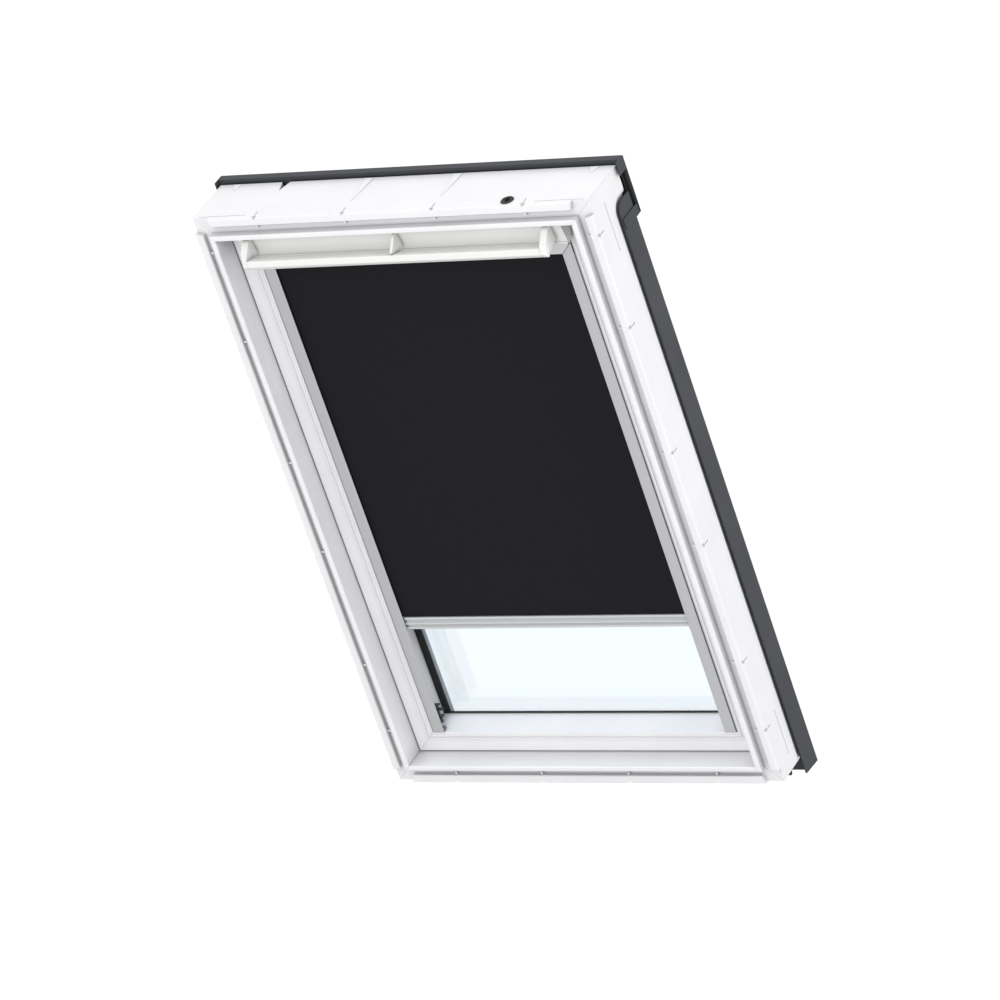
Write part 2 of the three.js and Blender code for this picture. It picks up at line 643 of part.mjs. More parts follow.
/** The notch, slit and marks cut into one side of the frame. */
function sideCutters(side) {
  const lineStart = side === "left" || side === "right" ? STILE_LINE_START : RAIL_LINE_START;
  const lineDepth = side === "left" || side === "right" ? STILE_LINE_DEPTH : RAIL_LINE_DEPTH;
  const mirror = side === "right" || side === "bottom" ? -1 : 1;
  const notches = notchPlaces(side).flatMap((place) => [
    onSide(side, (half) => {
      const outer = half + FRAME_SECTION;
      const at = mirror * place;
      return alongY(
        [
          [at - NOTCH_WIDTH / 2, outer + OVERRUN],
          [at - NOTCH_WIDTH / 2, outer],
          [at, outer - NOTCH_REACH],
          [at + NOTCH_WIDTH / 2, outer],
          [at + NOTCH_WIDTH / 2, outer + OVERRUN],
        ],
        TAB_FRONT - OVERRUN,
        TAB_FRONT + NOTCH_DEEP,
      );
    }),
    onSide(side, (half) => {
      const outer = half + FRAME_SECTION;
      const at = mirror * place;
      return block(
        at - SLIT_WIDTH / 2,
        at + SLIT_WIDTH / 2,
        TAB_FRONT - OVERRUN,
        TAB_FRONT + SLIT_LENGTH,
        outer - SLIT_DEEP,
        outer + OVERRUN,
      );
    }),
  ]);
  const lines = [-1, 1].map((sign) =>
    onSide(side, (half) => {
      const outer = half + FRAME_SECTION;
      const middle = sign * (lineStart + LINE_LENGTH / 2);
      return block(
        middle - LINE_LENGTH / 2,
        middle + LINE_LENGTH / 2,
        lineDepth - LINE_WIDTH / 2,
        lineDepth + LINE_WIDTH / 2,
        outer - LINE_DEPTH,
        outer + OVERRUN,
      );
    }),
  );
  return [...notches, ...lines];
}

/** The ribs that stand in one side's lining groove, one at each notch. */
function grooveRibs(side) {
  const mirror = side === "right" || side === "bottom" ? -1 : 1;
  return notchPlaces(side).map((place) =>
    onSide(side, (half) =>
      block(
        mirror * place - RIB_WIDTH / 2,
        mirror * place + RIB_WIDTH / 2,
        GROOVE_DEPTH - RIB_HEIGHT,
        GROOVE_DEPTH + OVERRUN,
        half + TAB_START - RIB_REACH,
        half + TAB_START + OVERRUN,
      ),
    ),
  );
}

/** Tapered pads on the top face, which run out to nothing toward the room. */
function topPads() {
  const face = HALF_HEIGHT;
  const pad = (place, start) =>
    loft([
      [
        [place - PAD_WIDTH / 2, PAD_END, face - OVERRUN],
        [place + PAD_WIDTH / 2, PAD_END, face - OVERRUN],
        [place + PAD_WIDTH / 2, PAD_END, face + PAD_HEIGHT],
        [place - PAD_WIDTH / 2, PAD_END, face + PAD_HEIGHT],
      ],
      [
        [place - PAD_TIP_WIDTH / 2, start, face - OVERRUN],
        [place + PAD_TIP_WIDTH / 2, start, face - OVERRUN],
        [place + PAD_TIP_WIDTH / 2, start, face + PAD_TIP_HEIGHT],
        [place - PAD_TIP_WIDTH / 2, start, face + PAD_TIP_HEIGHT],
      ],
    ]);
  return [
    pad(-PAD_OFFSET, PAD_START),
    pad(PAD_OFFSET, PAD_START),
    pad(-STUB_OFFSET, STUB_START),
    pad(STUB_OFFSET, STUB_START),
  ];
}

/** The rounded rebate in a right-hand stile's outer face, deepest under the side cover. */
function rebateCutter() {
  const ring = (x, grow) => {
    const front = COVER_FRONT - grow;
    const top = COVER_TOP + grow;
    const corner = COVER_CORNER + grow;
    const outline = [
      [front, -HALF_HEIGHT - OVERRUN],
      [FRAME_DEPTH + OVERRUN, -HALF_HEIGHT - OVERRUN],
      [FRAME_DEPTH + OVERRUN, top],
      ...arc(front + corner, top - corner, corner, 1, 2, ARC_STEPS * 2),
    ];
    return outline.map(([y, z]) => [x, y, z]);
  };
  const face = HALF_WIDTH;
  const chord = (drop) => Math.sqrt(REBATE_ROUND ** 2 - (REBATE_ROUND - drop) ** 2);
  const full = chord(REBATE_DEPTH);
  const rings = Array.from({ length: REBATE_STEPS + 1 }, (_, i) => {
    const drop = (REBATE_DEPTH * (REBATE_STEPS - i)) / REBATE_STEPS;
    return ring(face - drop, full - chord(drop));
  });
  return loft([...rings, ring(face + OVERRUN, full)]);
}

/** The four frame members. */
function buildFrame() {
  const outline = frameOutline();
  const members = Object.fromEntries(
    SIDES.map((side) => [side, mitredSide(side, outline, REVEAL_X, REVEAL_Z)]),
  );
  const corners = {
    top: [cornerCutter(1, 1), cornerCutter(-1, 1)],
    bottom: [cornerCutter(1, -1), cornerCutter(-1, -1)],
    right: [cornerCutter(1, 1), cornerCutter(1, -1)],
    left: [cornerCutter(-1, 1), cornerCutter(-1, -1)],
  };
  const cornerDot = bar(
    "y",
    CORNER_DOT_RADIUS,
    CORNER_FACE - OVERRUN,
    CORNER_FACE + CORNER_DOT_DEPTH,
    [REVEAL_X + CORNER_DOT_REACH, -REVEAL_Z - LIP_WIDTH - CORNER_DOT_RADIUS],
  );
  const topFace = HALF_HEIGHT;
  const grommetBore = bar(
    "z",
    GROMMET_STEM_RADIUS + FIT,
    topFace - GROMMET_STEM - FIT * 2,
    topFace + OVERRUN,
    [GROMMET_OFFSET, GROMMET_PLACE],
  );
  const ventNotch = alongZ(
    [
      [VENT_NOTCH_OFFSET - VENT_NOTCH_WIDTH / 2, FRAME_DEPTH + OVERRUN],
      [VENT_NOTCH_OFFSET, VENT_NOTCH_START],
      [VENT_NOTCH_OFFSET + VENT_NOTCH_WIDTH / 2, FRAME_DEPTH + OVERRUN],
    ],
    topFace - VENT_NOTCH_DEPTH,
    topFace + OVERRUN,
  );
  const strikerPocket = block(
    -STRIKER_WIDTH / 2 - FIT,
    STRIKER_WIDTH / 2 + FIT,
    LATCH_PLACE - STRIKER_DEPTH / 2 - FIT,
    LATCH_PLACE + STRIKER_DEPTH / 2 + FIT,
    REVEAL_Z - OVERRUN,
    REVEAL_Z + STRIKER_RECESS,
  );
  const bushBore = bar(
    "z",
    BOLT_BUSH_RADIUS + FIT,
    -REVEAL_Z - BOLT_BUSH_LENGTH - FIT,
    -REVEAL_Z + OVERRUN,
    [BOLT_OFFSET, BOLT_PLACE],
  );
  const pivotPocket = block(
    REVEAL_X - OVERRUN,
    REVEAL_X + PIVOT_PLATE_THICKNESS + FIT,
    PIVOT_DEPTH - PIVOT_PLATE_WIDTH / 2 - FIT,
    PIVOT_DEPTH + PIVOT_PLATE_WIDTH / 2 + FIT,
    -PIVOT_PLATE_HEIGHT / 2 - FIT,
    PIVOT_PLATE_HEIGHT / 2 + FIT,
  );
  const rebate = rebateCutter();
  const finished = (side, extraCuts, extraParts = []) => {
    const cleared = cut(members[side], [...corners[side], ...sideCutters(side), ...extraCuts]);
    return join([cleared, ...grooveRibs(side), ...extraParts]);
  };
  const topCuts = [grommetBore, ventNotch, strikerPocket];
  add("frame_top_rail", finished("top", topCuts, topPads()), FRAME_WHITE);
  add("frame_bottom_rail", finished("bottom", [bushBore, cornerDot]), FRAME_WHITE);
  add("frame_stile_right", finished("right", [rebate, pivotPocket, cornerDot]), FRAME_WHITE);
  add("frame_stile_left", finished("left", [mirrored(rebate), mirrored(pivotPocket)]), FRAME_WHITE);
}

/** A flat ring in the window's plane, from its half sizes and a width inward. */
function surround(halfX, lower, upper, widthX, widthLower, widthUpper, y0, y1) {
  const outer = block(-halfX, halfX, y0, y1, lower, upper);
  const inner = block(
    -halfX + widthX,
    halfX - widthX,
    y0 - OVERRUN,
    y1 + OVERRUN,
    lower + widthLower,
    upper - widthUpper,
  );
  return cut(outer, [inner]);
}

/** The pieces let into the frame: gasket, grommet, striker, bush and pivot plates. */
function buildFrameFittings() {
  const gasketX = REVEAL_X + GASKET_SLOT_DEPTH - FIT;
  const gasketZ = REVEAL_Z + GASKET_SLOT_DEPTH - FIT;
  const gasketWidth = GASKET_SLOT_DEPTH - FIT + GASKET_PROUD;
  add(
    "frame_gasket",
    surround(
      gasketX,
      -gasketZ,
      gasketZ,
      gasketWidth,
      gasketWidth,
      gasketWidth,
      GASKET_SLOT_START + FIT,
      GASKET_SLOT_START + GASKET_SLOT_WIDTH - FIT,
    ),
    RUBBER_BLACK,
  );
  const topFace = HALF_HEIGHT;
  const grommet = new THREE.LatheGeometry(
    [
      [0, -GROMMET_STEM],
      [GROMMET_STEM_RADIUS, -GROMMET_STEM],
      [GROMMET_STEM_RADIUS, FIT],
      [GROMMET_RADIUS, FIT],
      [GROMMET_RADIUS - GROMMET_RIM / 2, GROMMET_RIM],
      [GROMMET_HOLE_RADIUS + GROMMET_RIM, GROMMET_RIM],
      [GROMMET_HOLE_RADIUS, GROMMET_RIM / 2],
      [GROMMET_HOLE_RADIUS, -GROMMET_STEM / 2],
      [0, -GROMMET_STEM / 2],
    ].map(([r, h]) => new THREE.Vector2(r, h)),
    ROUND_SIDES,
  );
  grommet.rotateX(Math.PI / 2).translate(GROMMET_OFFSET, GROMMET_PLACE, topFace);
  add("cable_grommet", grommet, RUBBER_BLACK);

  const plateTop = REVEAL_Z + STRIKER_RECESS - FIT;
  const plate = block(
    -STRIKER_WIDTH / 2,
    STRIKER_WIDTH / 2,
    LATCH_PLACE - STRIKER_DEPTH / 2,
    LATCH_PLACE + STRIKER_DEPTH / 2,
    REVEAL_Z + FIT,
    plateTop,
  );
  const catchSlot = block(
    -LATCH_WIDTH / 2 - OVERRUN,
    LATCH_WIDTH / 2 + OVERRUN,
    LATCH_PLACE - LATCH_THICKNESS / 2 - OVERRUN,
    LATCH_PLACE + LATCH_THICKNESS / 2 + OVERRUN,
    REVEAL_Z - OVERRUN,
    plateTop + OVERRUN,
  );
  add("striker_plate", cut(plate, [catchSlot]), STEEL);

  const bushTop = -REVEAL_Z - FIT;
  const bush = cut(
    bar("z", BOLT_BUSH_RADIUS, bushTop - BOLT_BUSH_LENGTH + FIT, bushTop, [BOLT_OFFSET, BOLT_PLACE]),
    [
      bar("z", BOLT_RADIUS + FIT, bushTop - BOLT_TRAVEL, bushTop + OVERRUN, [
        BOLT_OFFSET,
        BOLT_PLACE,
      ]),
    ],
  );
  add("bolt_bush", bush, STEEL);

  const plateInner = REVEAL_X + FIT;
  const pivotPlate = join([
    block(
      plateInner,
      plateInner + PIVOT_PLATE_THICKNESS - FIT,
      PIVOT_DEPTH - PIVOT_PLATE_WIDTH / 2,
      PIVOT_DEPTH + PIVOT_PLATE_WIDTH / 2,
      -PIVOT_PLATE_HEIGHT / 2,
      PIVOT_PLATE_HEIGHT / 2,
    ),
    bar("x", PIVOT_PIN_RADIUS, plateInner - PIVOT_PIN_LENGTH, plateInner + OVERRUN, [PIVOT_DEPTH, 0]),
  ]);
  addPair("pivot_plate", pivotPlate, STEEL);
}

/** The sheet-metal covers that are fixed to the frame. */
function buildFrameCovers() {
  const seat = FRAME_DEPTH + FIT;
  const sideFace = (inner, outer, grow) =>
    alongX(
      [
        [COVER_FRONT - grow, SIDE_COVER_BOTTOM + COVER_BOTTOM_SLANT],
        [SIDE_COVER_BACK, SIDE_COVER_BOTTOM],
        [SIDE_COVER_BACK, COVER_TOP + grow],
        ...arc(COVER_FRONT + COVER_CORNER, COVER_TOP - COVER_CORNER, COVER_CORNER + grow, 1, 2),
      ],
      inner,
      outer,
    );
  const hem = cut(sideFace(SIDE_COVER_FACE - SHEET * 2, SIDE_COVER_FACE, 0), [
    block(
      SIDE_COVER_FACE - SHEET * 2 - OVERRUN,
      SIDE_COVER_FACE - SHEET,
      COVER_FRONT + SHEET * 3,
      SIDE_COVER_BACK + OVERRUN,
      SIDE_COVER_BOTTOM - OVERRUN,
      COVER_TOP - SHEET * 3,
    ),
  ]);
  const roofFace = alongZ(
    [
      [SIDE_COVER_INNER, seat],
      [SIDE_COVER_INNER + SHEET, seat],
      [SIDE_COVER_INNER + SHEET, SIDE_COVER_BACK - SHEET],
      [SIDE_COVER_FACE - SHEET, SIDE_COVER_BACK - SHEET],
      [SIDE_COVER_FACE, SIDE_COVER_BACK - SHEET],
      [SIDE_COVER_FACE, SIDE_COVER_BACK],
      [SIDE_COVER_INNER, SIDE_COVER_BACK],
    ],
    SIDE_COVER_BOTTOM,
    COVER_TOP - SHEET,
  );
  addPair("frame_side_cover", join([hem, roofFace]), COVER_GREY);

  const hoodOutline = [
    [HOOD_BACK, HOOD_LOWER],
    [HOOD_BACK, HOOD_TOP - SHEET],
    [HOOD_BACK - SHEET, HOOD_TOP],
    [HOOD_FRONT, HOOD_TOP],
    [HOOD_FRONT, HOOD_APRON_LOWER],
    [seat, HOOD_APRON_LOWER],
    [seat, HOOD_APRON_LOWER - SHEET],
    [HOOD_FRONT + SHEET, HOOD_APRON_LOWER - SHEET],
    [HOOD_FRONT + SHEET, HOOD_TOP - SHEET],
    [HOOD_BACK - SHEET, HOOD_TOP - SHEET],
    [HOOD_BACK - SHEET, HOOD_LOWER],
  ];
  const cheek = alongX(
    [
      [HOOD_CHEEK_FRONT, HOOD_CHEEK_LOWER],
      [HOOD_BACK, HOOD_CHEEK_LOWER],
      [HOOD_BACK, HOOD_TOP - SHEET],
      [HOOD_BACK - SHEET, HOOD_TOP],
      [HOOD_CHEEK_FRONT, HOOD_TOP],
    ],
    HOOD_FACE - SHEET,
    HOOD_FACE,
  );
  add("hood", join([alongX(hoodOutline, -HOOD_FACE, HOOD_FACE), cheek, mirrored(cheek)]), COVER_GREY);

  const clipInner = SIDE_COVER_FACE + FIT;
  const clipBack = HOOD_BACK - SHEET - FIT;
  const clip = join([
    alongX(
      [
        [CLIP_FRONT, CLIP_LOWER + CLIP_HEIGHT * 0.2],
        [CLIP_FRONT + CLIP_HEIGHT * 0.2, CLIP_LOWER],
        [clipBack, CLIP_LOWER],
        [clipBack, CLIP_LOWER + CLIP_HEIGHT],
        [CLIP_FRONT, CLIP_LOWER + CLIP_HEIGHT],
      ],
      clipInner,
      clipInner + CLIP_THICKNESS,
    ),
    new THREE.SphereGeometry(RIVET_RADIUS, ROUND_SIDES / 2, ROUND_SIDES / 4)
      .scale(RIVET_HEIGHT / RIVET_RADIUS, 1, 1)
      .translate(clipInner + CLIP_THICKNESS, CLIP_FRONT + RIVET_SETBACK, CLIP_LOWER + CLIP_HEIGHT / 2),
  ]);
  addPair("hood_clip", clip, COVER_GREY);

  const layerInner = SIDE_COVER_INNER;
  const layerStart = SIDE_COVER_BACK + FIT;
  const layerPitch = (LAYER_BACK - layerStart) / LAYER_COUNT;
  const folds = Array.from({ length: LAYER_COUNT }, (_, i) =>
    block(
      layerInner,
      LAYER_OUTER - i * SHEET * 2,
      layerStart + i * layerPitch,
      layerStart + (i + 1) * layerPitch - SHEET,
      LAYER_LOWER + i * SHEET * 2,
      LAYER_TOP,
    ),
  );
  const layerRoot = block(
    layerInner,
    LAYER_OUTER - LAYER_COUNT * SHEET * 4,
    seat,
    LAYER_BACK - SHEET,
    COVER_TOP + FIT,
    LAYER_TOP,
  );
  addPair("upper_inner_cover", join([layerRoot, ...folds]), COVER_GREY);

  const under = HALF_HEIGHT + FIT;
  const bottomOutline = [
    [BOTTOM_COVER_FLANGE, -under - SHEET * 2],
    [BOTTOM_COVER_WALL, -under - SHEET * 2],
    [BOTTOM_COVER_WALL, -BOTTOM_COVER_DROP],
    [BOTTOM_COVER_BACK, -BOTTOM_COVER_DROP - COVER_BOTTOM_SLANT / 2],
    [BOTTOM_COVER_BACK, -BOTTOM_COVER_UPPER],
    [seat, -BOTTOM_COVER_UPPER],
    [seat, -BOTTOM_COVER_UPPER - SHEET],
    [BOTTOM_COVER_BACK - SHEET, -BOTTOM_COVER_UPPER - SHEET],
    [BOTTOM_COVER_BACK - SHEET, -BOTTOM_COVER_DROP + SHEET],
    [BOTTOM_COVER_WALL + SHEET, -BOTTOM_COVER_DROP + SHEET],
    [BOTTOM_COVER_WALL + SHEET, -under],
    [BOTTOM_COVER_FLANGE, -under],
  ];
  const curlCentre = [BOTTOM_COVER_FLANGE - CURL_RADIUS + SHEET, -under - CURL_RADIUS];
  const curl = cut(bar("x", CURL_RADIUS, -BOTTOM_COVER_HALF, BOTTOM_COVER_HALF, curlCentre), [
    bar("x", CURL_RADIUS - SHEET, -BOTTOM_COVER_HALF - OVERRUN, BOTTOM_COVER_HALF + OVERRUN, curlCentre),
  ]);
  const sheet = alongX(bottomOutline, -BOTTOM_COVER_HALF, BOTTOM_COVER_HALF);
  const roomForSide = block(
    SIDE_COVER_INNER - SHEET,
    BOTTOM_COVER_HALF + OVERRUN,
    FRAME_DEPTH - OVERRUN,
    SIDE_COVER_BACK + SHEET * 2,
    SIDE_COVER_BOTTOM - OVERRUN,
    0,
  );
  const bottomCover = cut(join([sheet, curl]), [roomForSide, mirrored(roomForSide)]);
  add("frame_bottom_cover", bottomCover, COVER_GREY);
}

/** The moulded face of a sash member, with its two beads and the step to the reveal. */
function sashFace() {
  const firstBead = SASH_FACE + BEAD_SETBACK;
  return [
    [0, SASH_FRONT + BEAD_STEP / 2],
    [-BEAD_STEP / 2, SASH_FRONT],
    [-SASH_FACE, SASH_FRONT],
    ...arc(-firstBead, SASH_FRONT, BEAD_RADIUS, 0, -2).map(([w, y]) => [w, y]),
    ...arc(-firstBead - BEAD_PITCH, SASH_FRONT, BEAD_RADIUS, 0, -2).map(([w, y]) => [w, y]),
    [-BEAD_END, SASH_FRONT + BEAD_STEP],
    [-BEAD_END, SASH_FRONT + BEAD_STEP * 2],
  ];
}

/** A sash member's whole section, from its outer edge in to the reveal. */
function sashOutline(relief) {
  const back = [
    [-SASH_WIDTH, SASH_FRONT + BEAD_STEP * 2],
    [-SASH_WIDTH, STOP_BACK],
    [-SASH_REBATE, STOP_BACK],
    [-SASH_REBATE, SASH_BACK],
    [-relief, SASH_BACK],
  ];
  const pivotLine = relief > 0 ? [[0, PIVOT_DEPTH]] : [];
  return [...sashFace(), ...back, ...pivotLine];
}

/** The four sash members, with their pockets and bores. */
function buildSash() {
  const side = (name, relief) => mitredSide(name, sashOutline(relief), SASH_X, SASH_Z);
  const infill = SASH_REVEAL - FIT;
  const bushPocket = bar(
    "x",
    PIVOT_BUSH_RADIUS + FIT,
    SASH_X - PIVOT_BUSH_LENGTH - FIT * 2,
    SASH_X + OVERRUN,
    [PIVOT_DEPTH, 0],
  );
  const stile = cut(side("right", 0), [bushPocket]);
  addPair("sash_stile", stile, SASH_WHITE);

  const crown = SASH_Z - SASH_WIDTH + OVERRUN;
  const apron = alongX(
    [
      [SASH_FRONT, APRON_LOWER],
      [SASH_FRONT, APRON_ROOT + OVERRUN],
      [SASH_FRONT + APRON_THICKNESS, APRON_ROOT + OVERRUN],
      [SASH_FRONT + APRON_THICKNESS, APRON_LOWER],
    ],
    -infill,
    infill,
  );
  const core = block(-infill, infill, SASH_FRONT + BEAD_STEP, STOP_BACK, APRON_ROOT, crown + SASH_WIDTH / 4);
  const stop = block(-infill, infill, STOP_FRONT, STOP_BACK, STOP_LOWER, APRON_ROOT + OVERRUN);
  const headLower = STOP_LOWER + SASH_REBATE;
  const headUpper = SASH_Z - SASH_REBATE + OVERRUN;
  const headHalf = SASH_X - SASH_REBATE - FIT;
  const glassHead = join([
    block(-headHalf, headHalf, STOP_BACK + FIT, SASH_BACK, headLower, headUpper),
    block(-infill, infill, STOP_BACK - OVERRUN, SASH_BACK - OVERRUN, headLower, headUpper),
  ]);
  const casingRoom = block(
    -HALF_WIDTH,
    HALF_WIDTH,
    SASH_FRONT + APRON_THICKNESS,
    STOP_FRONT,
    STOP_LOWER - OVERRUN,
    APRON_ROOT,
  );
  const flapSeat = block(
    -FLAP_HALF,
    FLAP_HALF,
    SASH_FRONT - BEAD_RADIUS - OVERRUN,
    SASH_FRONT,
    APRON_LOWER,
    FLAP_TOP,
  );
  const lockPocket = block(
    -LOCK_WIDTH / 2 - FIT,
    LOCK_WIDTH / 2 + FIT,
    LOCK_FRONT - FIT,
    LOCK_FRONT + LOCK_DEPTH + FIT,
    LOCK_LOWER - FIT,
    SASH_Z + OVERRUN,
  );
  const topRail = join([side("top", TOP_SWEEP_RELIEF), apron, core]);
  const head = cut(topRail, [casingRoom, flapSeat, lockPocket]);
  add("sash_top_rail", join([head, stop, glassHead, apron]), SASH_WHITE);

  const sill = alongX(
    [
      [SILL_FRONT, SILL_FRONT_HEIGHT],
      [STOP_BACK, -SILL_UPPER],
      [STOP_BACK, -SASH_Z + SASH_REBATE],
      [STOP_BACK - PANE, -SASH_Z + SASH_REBATE],
      [SILL_FRONT, -SASH_Z + SASH_REBATE],
    ],
    -infill,
    infill,
  );
  const aboveSill = alongX(
    [
      [SILL_FRONT - OVERRUN, SILL_FRONT_HEIGHT],
      [SILL_FRONT, SILL_FRONT_HEIGHT],
      [STOP_BACK, -SILL_UPPER],
      [STOP_BACK + OVERRUN, -SILL_UPPER],
      [STOP_BACK + OVERRUN, -SILL_UPPER + SASH_WIDTH],
      [SILL_FRONT - OVERRUN, -SILL_UPPER + SASH_WIDTH],
    ],
    -SASH_REVEAL,
    SASH_REVEAL,
  );
  const boltBore = bar("z", BOLT_RADIUS + FIT, -SASH_Z - OVERRUN, -SILL_UPPER, [BOLT_OFFSET, BOLT_PLACE]);
  const lowerRail = cut(join([cut(side("bottom", 0), [aboveSill]), sill]), [boltBore]);
  add("sash_bottom_rail", lowerRail, SASH_WHITE);

  const bush = cut(
    bar("x", PIVOT_BUSH_RADIUS, SASH_X - FIT - PIVOT_BUSH_LENGTH, SASH_X - FIT, [PIVOT_DEPTH, 0]),
    [
      bar("x", PIVOT_PIN_RADIUS + FIT, SASH_X - PIVOT_BUSH_LENGTH - OVERRUN * 2, SASH_X + OVERRUN, [
        PIVOT_DEPTH,
        0,
      ]),
    ],
  );
  addPair("pivot_bush", bush, STEEL);
}

/** The sealed double glazing and the gasket on its room side. */
function buildGlazing() {
  const paneX = SASH_X - SASH_REBATE - PANE_EDGE_GAP;
  const paneLower = -SASH_Z + SASH_REBATE + PANE_EDGE_GAP;
  const paneUpper = STOP_LOWER + SASH_REBATE - PANE_EDGE_GAP;
  add("inner_pane", block(-paneX, paneX, GLASS_FRONT, GLASS_FRONT + PANE, paneLower, paneUpper), GLASS);
  add("outer_pane", block(-paneX, paneX, OUTER_PANE, OUTER_PANE + PANE, paneLower, paneUpper), GLASS);
  add(
    "spacer_bar",
    surround(
      SPACER_INNER + SPACER_WIDTH,
      -SPACER_LOWER - SPACER_WIDTH,
      SPACER_UPPER + SPACER_WIDTH,
      SPACER_WIDTH,
      SPACER_WIDTH,
      SPACER_WIDTH,
      GLASS_FRONT + PANE + FIT,
      OUTER_PANE - FIT,
    ),
    STEEL,
  );
  const gasketX = SASH_REVEAL - FIT;
  const gasketBack = GLASS_FRONT - FIT;
  const upright = block(
    gasketX - GLAZING_GASKET_WIDTH,
    gasketX,
    gasketBack - GLAZING_GASKET_DEPTH,
    gasketBack,
    -SILL_UPPER + FIT,
    STOP_LOWER - FIT,
  );
  const sillStrip = block(
    -gasketX,
    gasketX,
    gasketBack - GLAZING_SILL_DEPTH,
    gasketBack,
    -SILL_UPPER + FIT,
    -SILL_UPPER + FIT + GLAZING_SILL_WIDTH,
  );
  const headStrip = block(
    -gasketX,
    gasketX,
    gasketBack - GLAZING_SILL_DEPTH,
    gasketBack,
    STOP_LOWER - FIT - GLAZING_SILL_WIDTH,
    STOP_LOWER - FIT,
  );
  add("glazing_gasket", join([upright, mirrored(upright), sillStrip, headStrip]), RUBBER_BLACK);
}

/** The sheet-metal covers on the roof side of the sash. */
function buildSashCovers() {
  const seat = SASH_BACK + FIT;
  const outline = [
    [0, seat],
    [0, SASH_COVER_BACK - SHEET],
    [-SHEET, SASH_COVER_BACK],
    [-SASH_COVER_WIDTH, SASH_COVER_BACK],
    [-SASH_COVER_WIDTH, seat],
    [-SASH_COVER_WIDTH + SHEET, seat],
    [-SASH_COVER_WIDTH + SHEET, SASH_COVER_BACK - SHEET],
    [-SHEET, SASH_COVER_BACK - SHEET],
    [-SHEET, seat],
  ];
  const halfX = SASH_X - SASH_COVER_SETBACK;
  const halfZ = SASH_Z - SASH_COVER_SETBACK;
  const side = (name) => mitredSide(name, outline, halfX, halfZ);
  addPair("sash_cover", side("right"), COVER_GREY);
  add("sash_cover_bottom", side("bottom"), COVER_GREY);
  const inner = halfX - SASH_COVER_WIDTH - FIT;
  const headSheet = alongX(
    [
      [SASH_COVER_BACK - SHEET, halfZ - SASH_COVER_WIDTH + OVERRUN],
      [SASH_COVER_BACK, halfZ - SASH_COVER_WIDTH + OVERRUN],
      [SASH_COVER_BACK, SASH_COVER_TOP_LOWER],
      [seat, SASH_COVER_TOP_LOWER],
      [seat, SASH_COVER_TOP_LOWER + SHEET],
      [SASH_COVER_BACK - SHEET, SASH_COVER_TOP_LOWER + SHEET],
    ],
    -inner,
    inner,
  );
  add("sash_cover_top", join([side("top"), headSheet]), COVER_GREY);
}

/** The lock in the top rail, and the barrel bolt low on the left stile. */
function buildSashFittings() {
  const latchSlot = (gap, lower, upper) =>
    block(
      -LATCH_WIDTH / 2 - gap,
      LATCH_WIDTH / 2 + gap,
      LATCH_PLACE - LATCH_THICKNESS / 2 - gap,
      LATCH_PLACE + LATCH_THICKNESS / 2 + gap,
      lower,
      upper,
    );
  const lockCase = cut(
    block(-LOCK_WIDTH / 2, LOCK_WIDTH / 2, LOCK_FRONT, LOCK_FRONT + LOCK_DEPTH, LOCK_LOWER, LOCK_TOP),
    [latchSlot(FIT, LOCK_LOWER + PANE, LOCK_TOP + OVERRUN)],
  );
  add("lock_case", lockCase, STEEL);
  add("latch_bolt", latchSlot(0, LATCH_LOWER, LATCH_TOP), STEEL);

  const wall = -SASH_REVEAL + FIT;
  const half = BOLT_BRACKET_WIDTH / 2;
  const ear = (lower) =>
    block(wall, wall + BOLT_BRACKET_REACH, BOLT_PLACE - half, BOLT_PLACE + half, lower, lower + BOLT_EAR);
  const bracket = cut(
    join([
      block(
        wall,
        wall + BOLT_PLATE,
        BOLT_PLACE - half,
        BOLT_PLACE + half,
        BOLT_BRACKET_LOWER,
        BOLT_BRACKET_UPPER,
      ),
      ear(BOLT_BRACKET_LOWER),
      ear(BOLT_BRACKET_UPPER - BOLT_EAR),
    ]),
    [bar("z", BOLT_RADIUS + FIT, BOLT_BRACKET_LOWER - OVERRUN, BOLT_TOP, [BOLT_OFFSET, BOLT_PLACE])],
  );
  add("bolt_bracket", bracket, STEEL);
  const bolt = join([
    bar("z", BOLT_RADIUS, BOLT_TIP, BOLT_TOP, [BOLT_OFFSET, BOLT_PLACE]),
    bar("x", BOLT_KNOB_RADIUS, BOLT_OFFSET, BOLT_OFFSET + BOLT_KNOB_LENGTH, [BOLT_PLACE, BOLT_KNOB_PLACE]),
  ]);
  add("barrel_bolt", bolt, STEEL);

  const earInner = FLAP_EAR_OUTER - FLAP_EAR_THICKNESS;
  const seat = SASH_FRONT - FIT;
  const hinge = join([
    block(
      FLAP_EAR_OUTER - FLAP_BASE_LENGTH,
      FLAP_EAR_OUTER,
      seat - FLAP_BASE_THICKNESS,
      seat,
      FLAP_BASE_LOWER,
      FLAP_BASE_UPPER,
    ),
    alongX(
      [
        [seat - OVERRUN, FLAP_BASE_LOWER],
        [seat - OVERRUN, FLAP_BASE_UPPER],
        ...arc(FLAP_PIVOT_DEPTH, FLAP_PIVOT_HEIGHT, FLAP_EAR_RADIUS, 1, 2.6),
      ],
      earInner,
      FLAP_EAR_OUTER,
    ),
    bar("x", FLAP_PIN_RADIUS, earInner, FLAP_HALF - FIT, [FLAP_PIVOT_DEPTH, FLAP_PIVOT_HEIGHT]),
  ]);
  addPair("flap_hinge", hinge, STEEL);
}

/** The flap's front line, from its top down to its lip. */
function flapFront(inset) {
  return FLAP_FRONT_SHARES.map(([lean, fall]) => [
    FLAP_CREST + inset + FLAP_LEAN * lean,
    FLAP_TOP - inset - (FLAP_TOP - FLAP_BOTTOM - FLAP_LIP_HEIGHT - inset) * fall,
  ]);
}

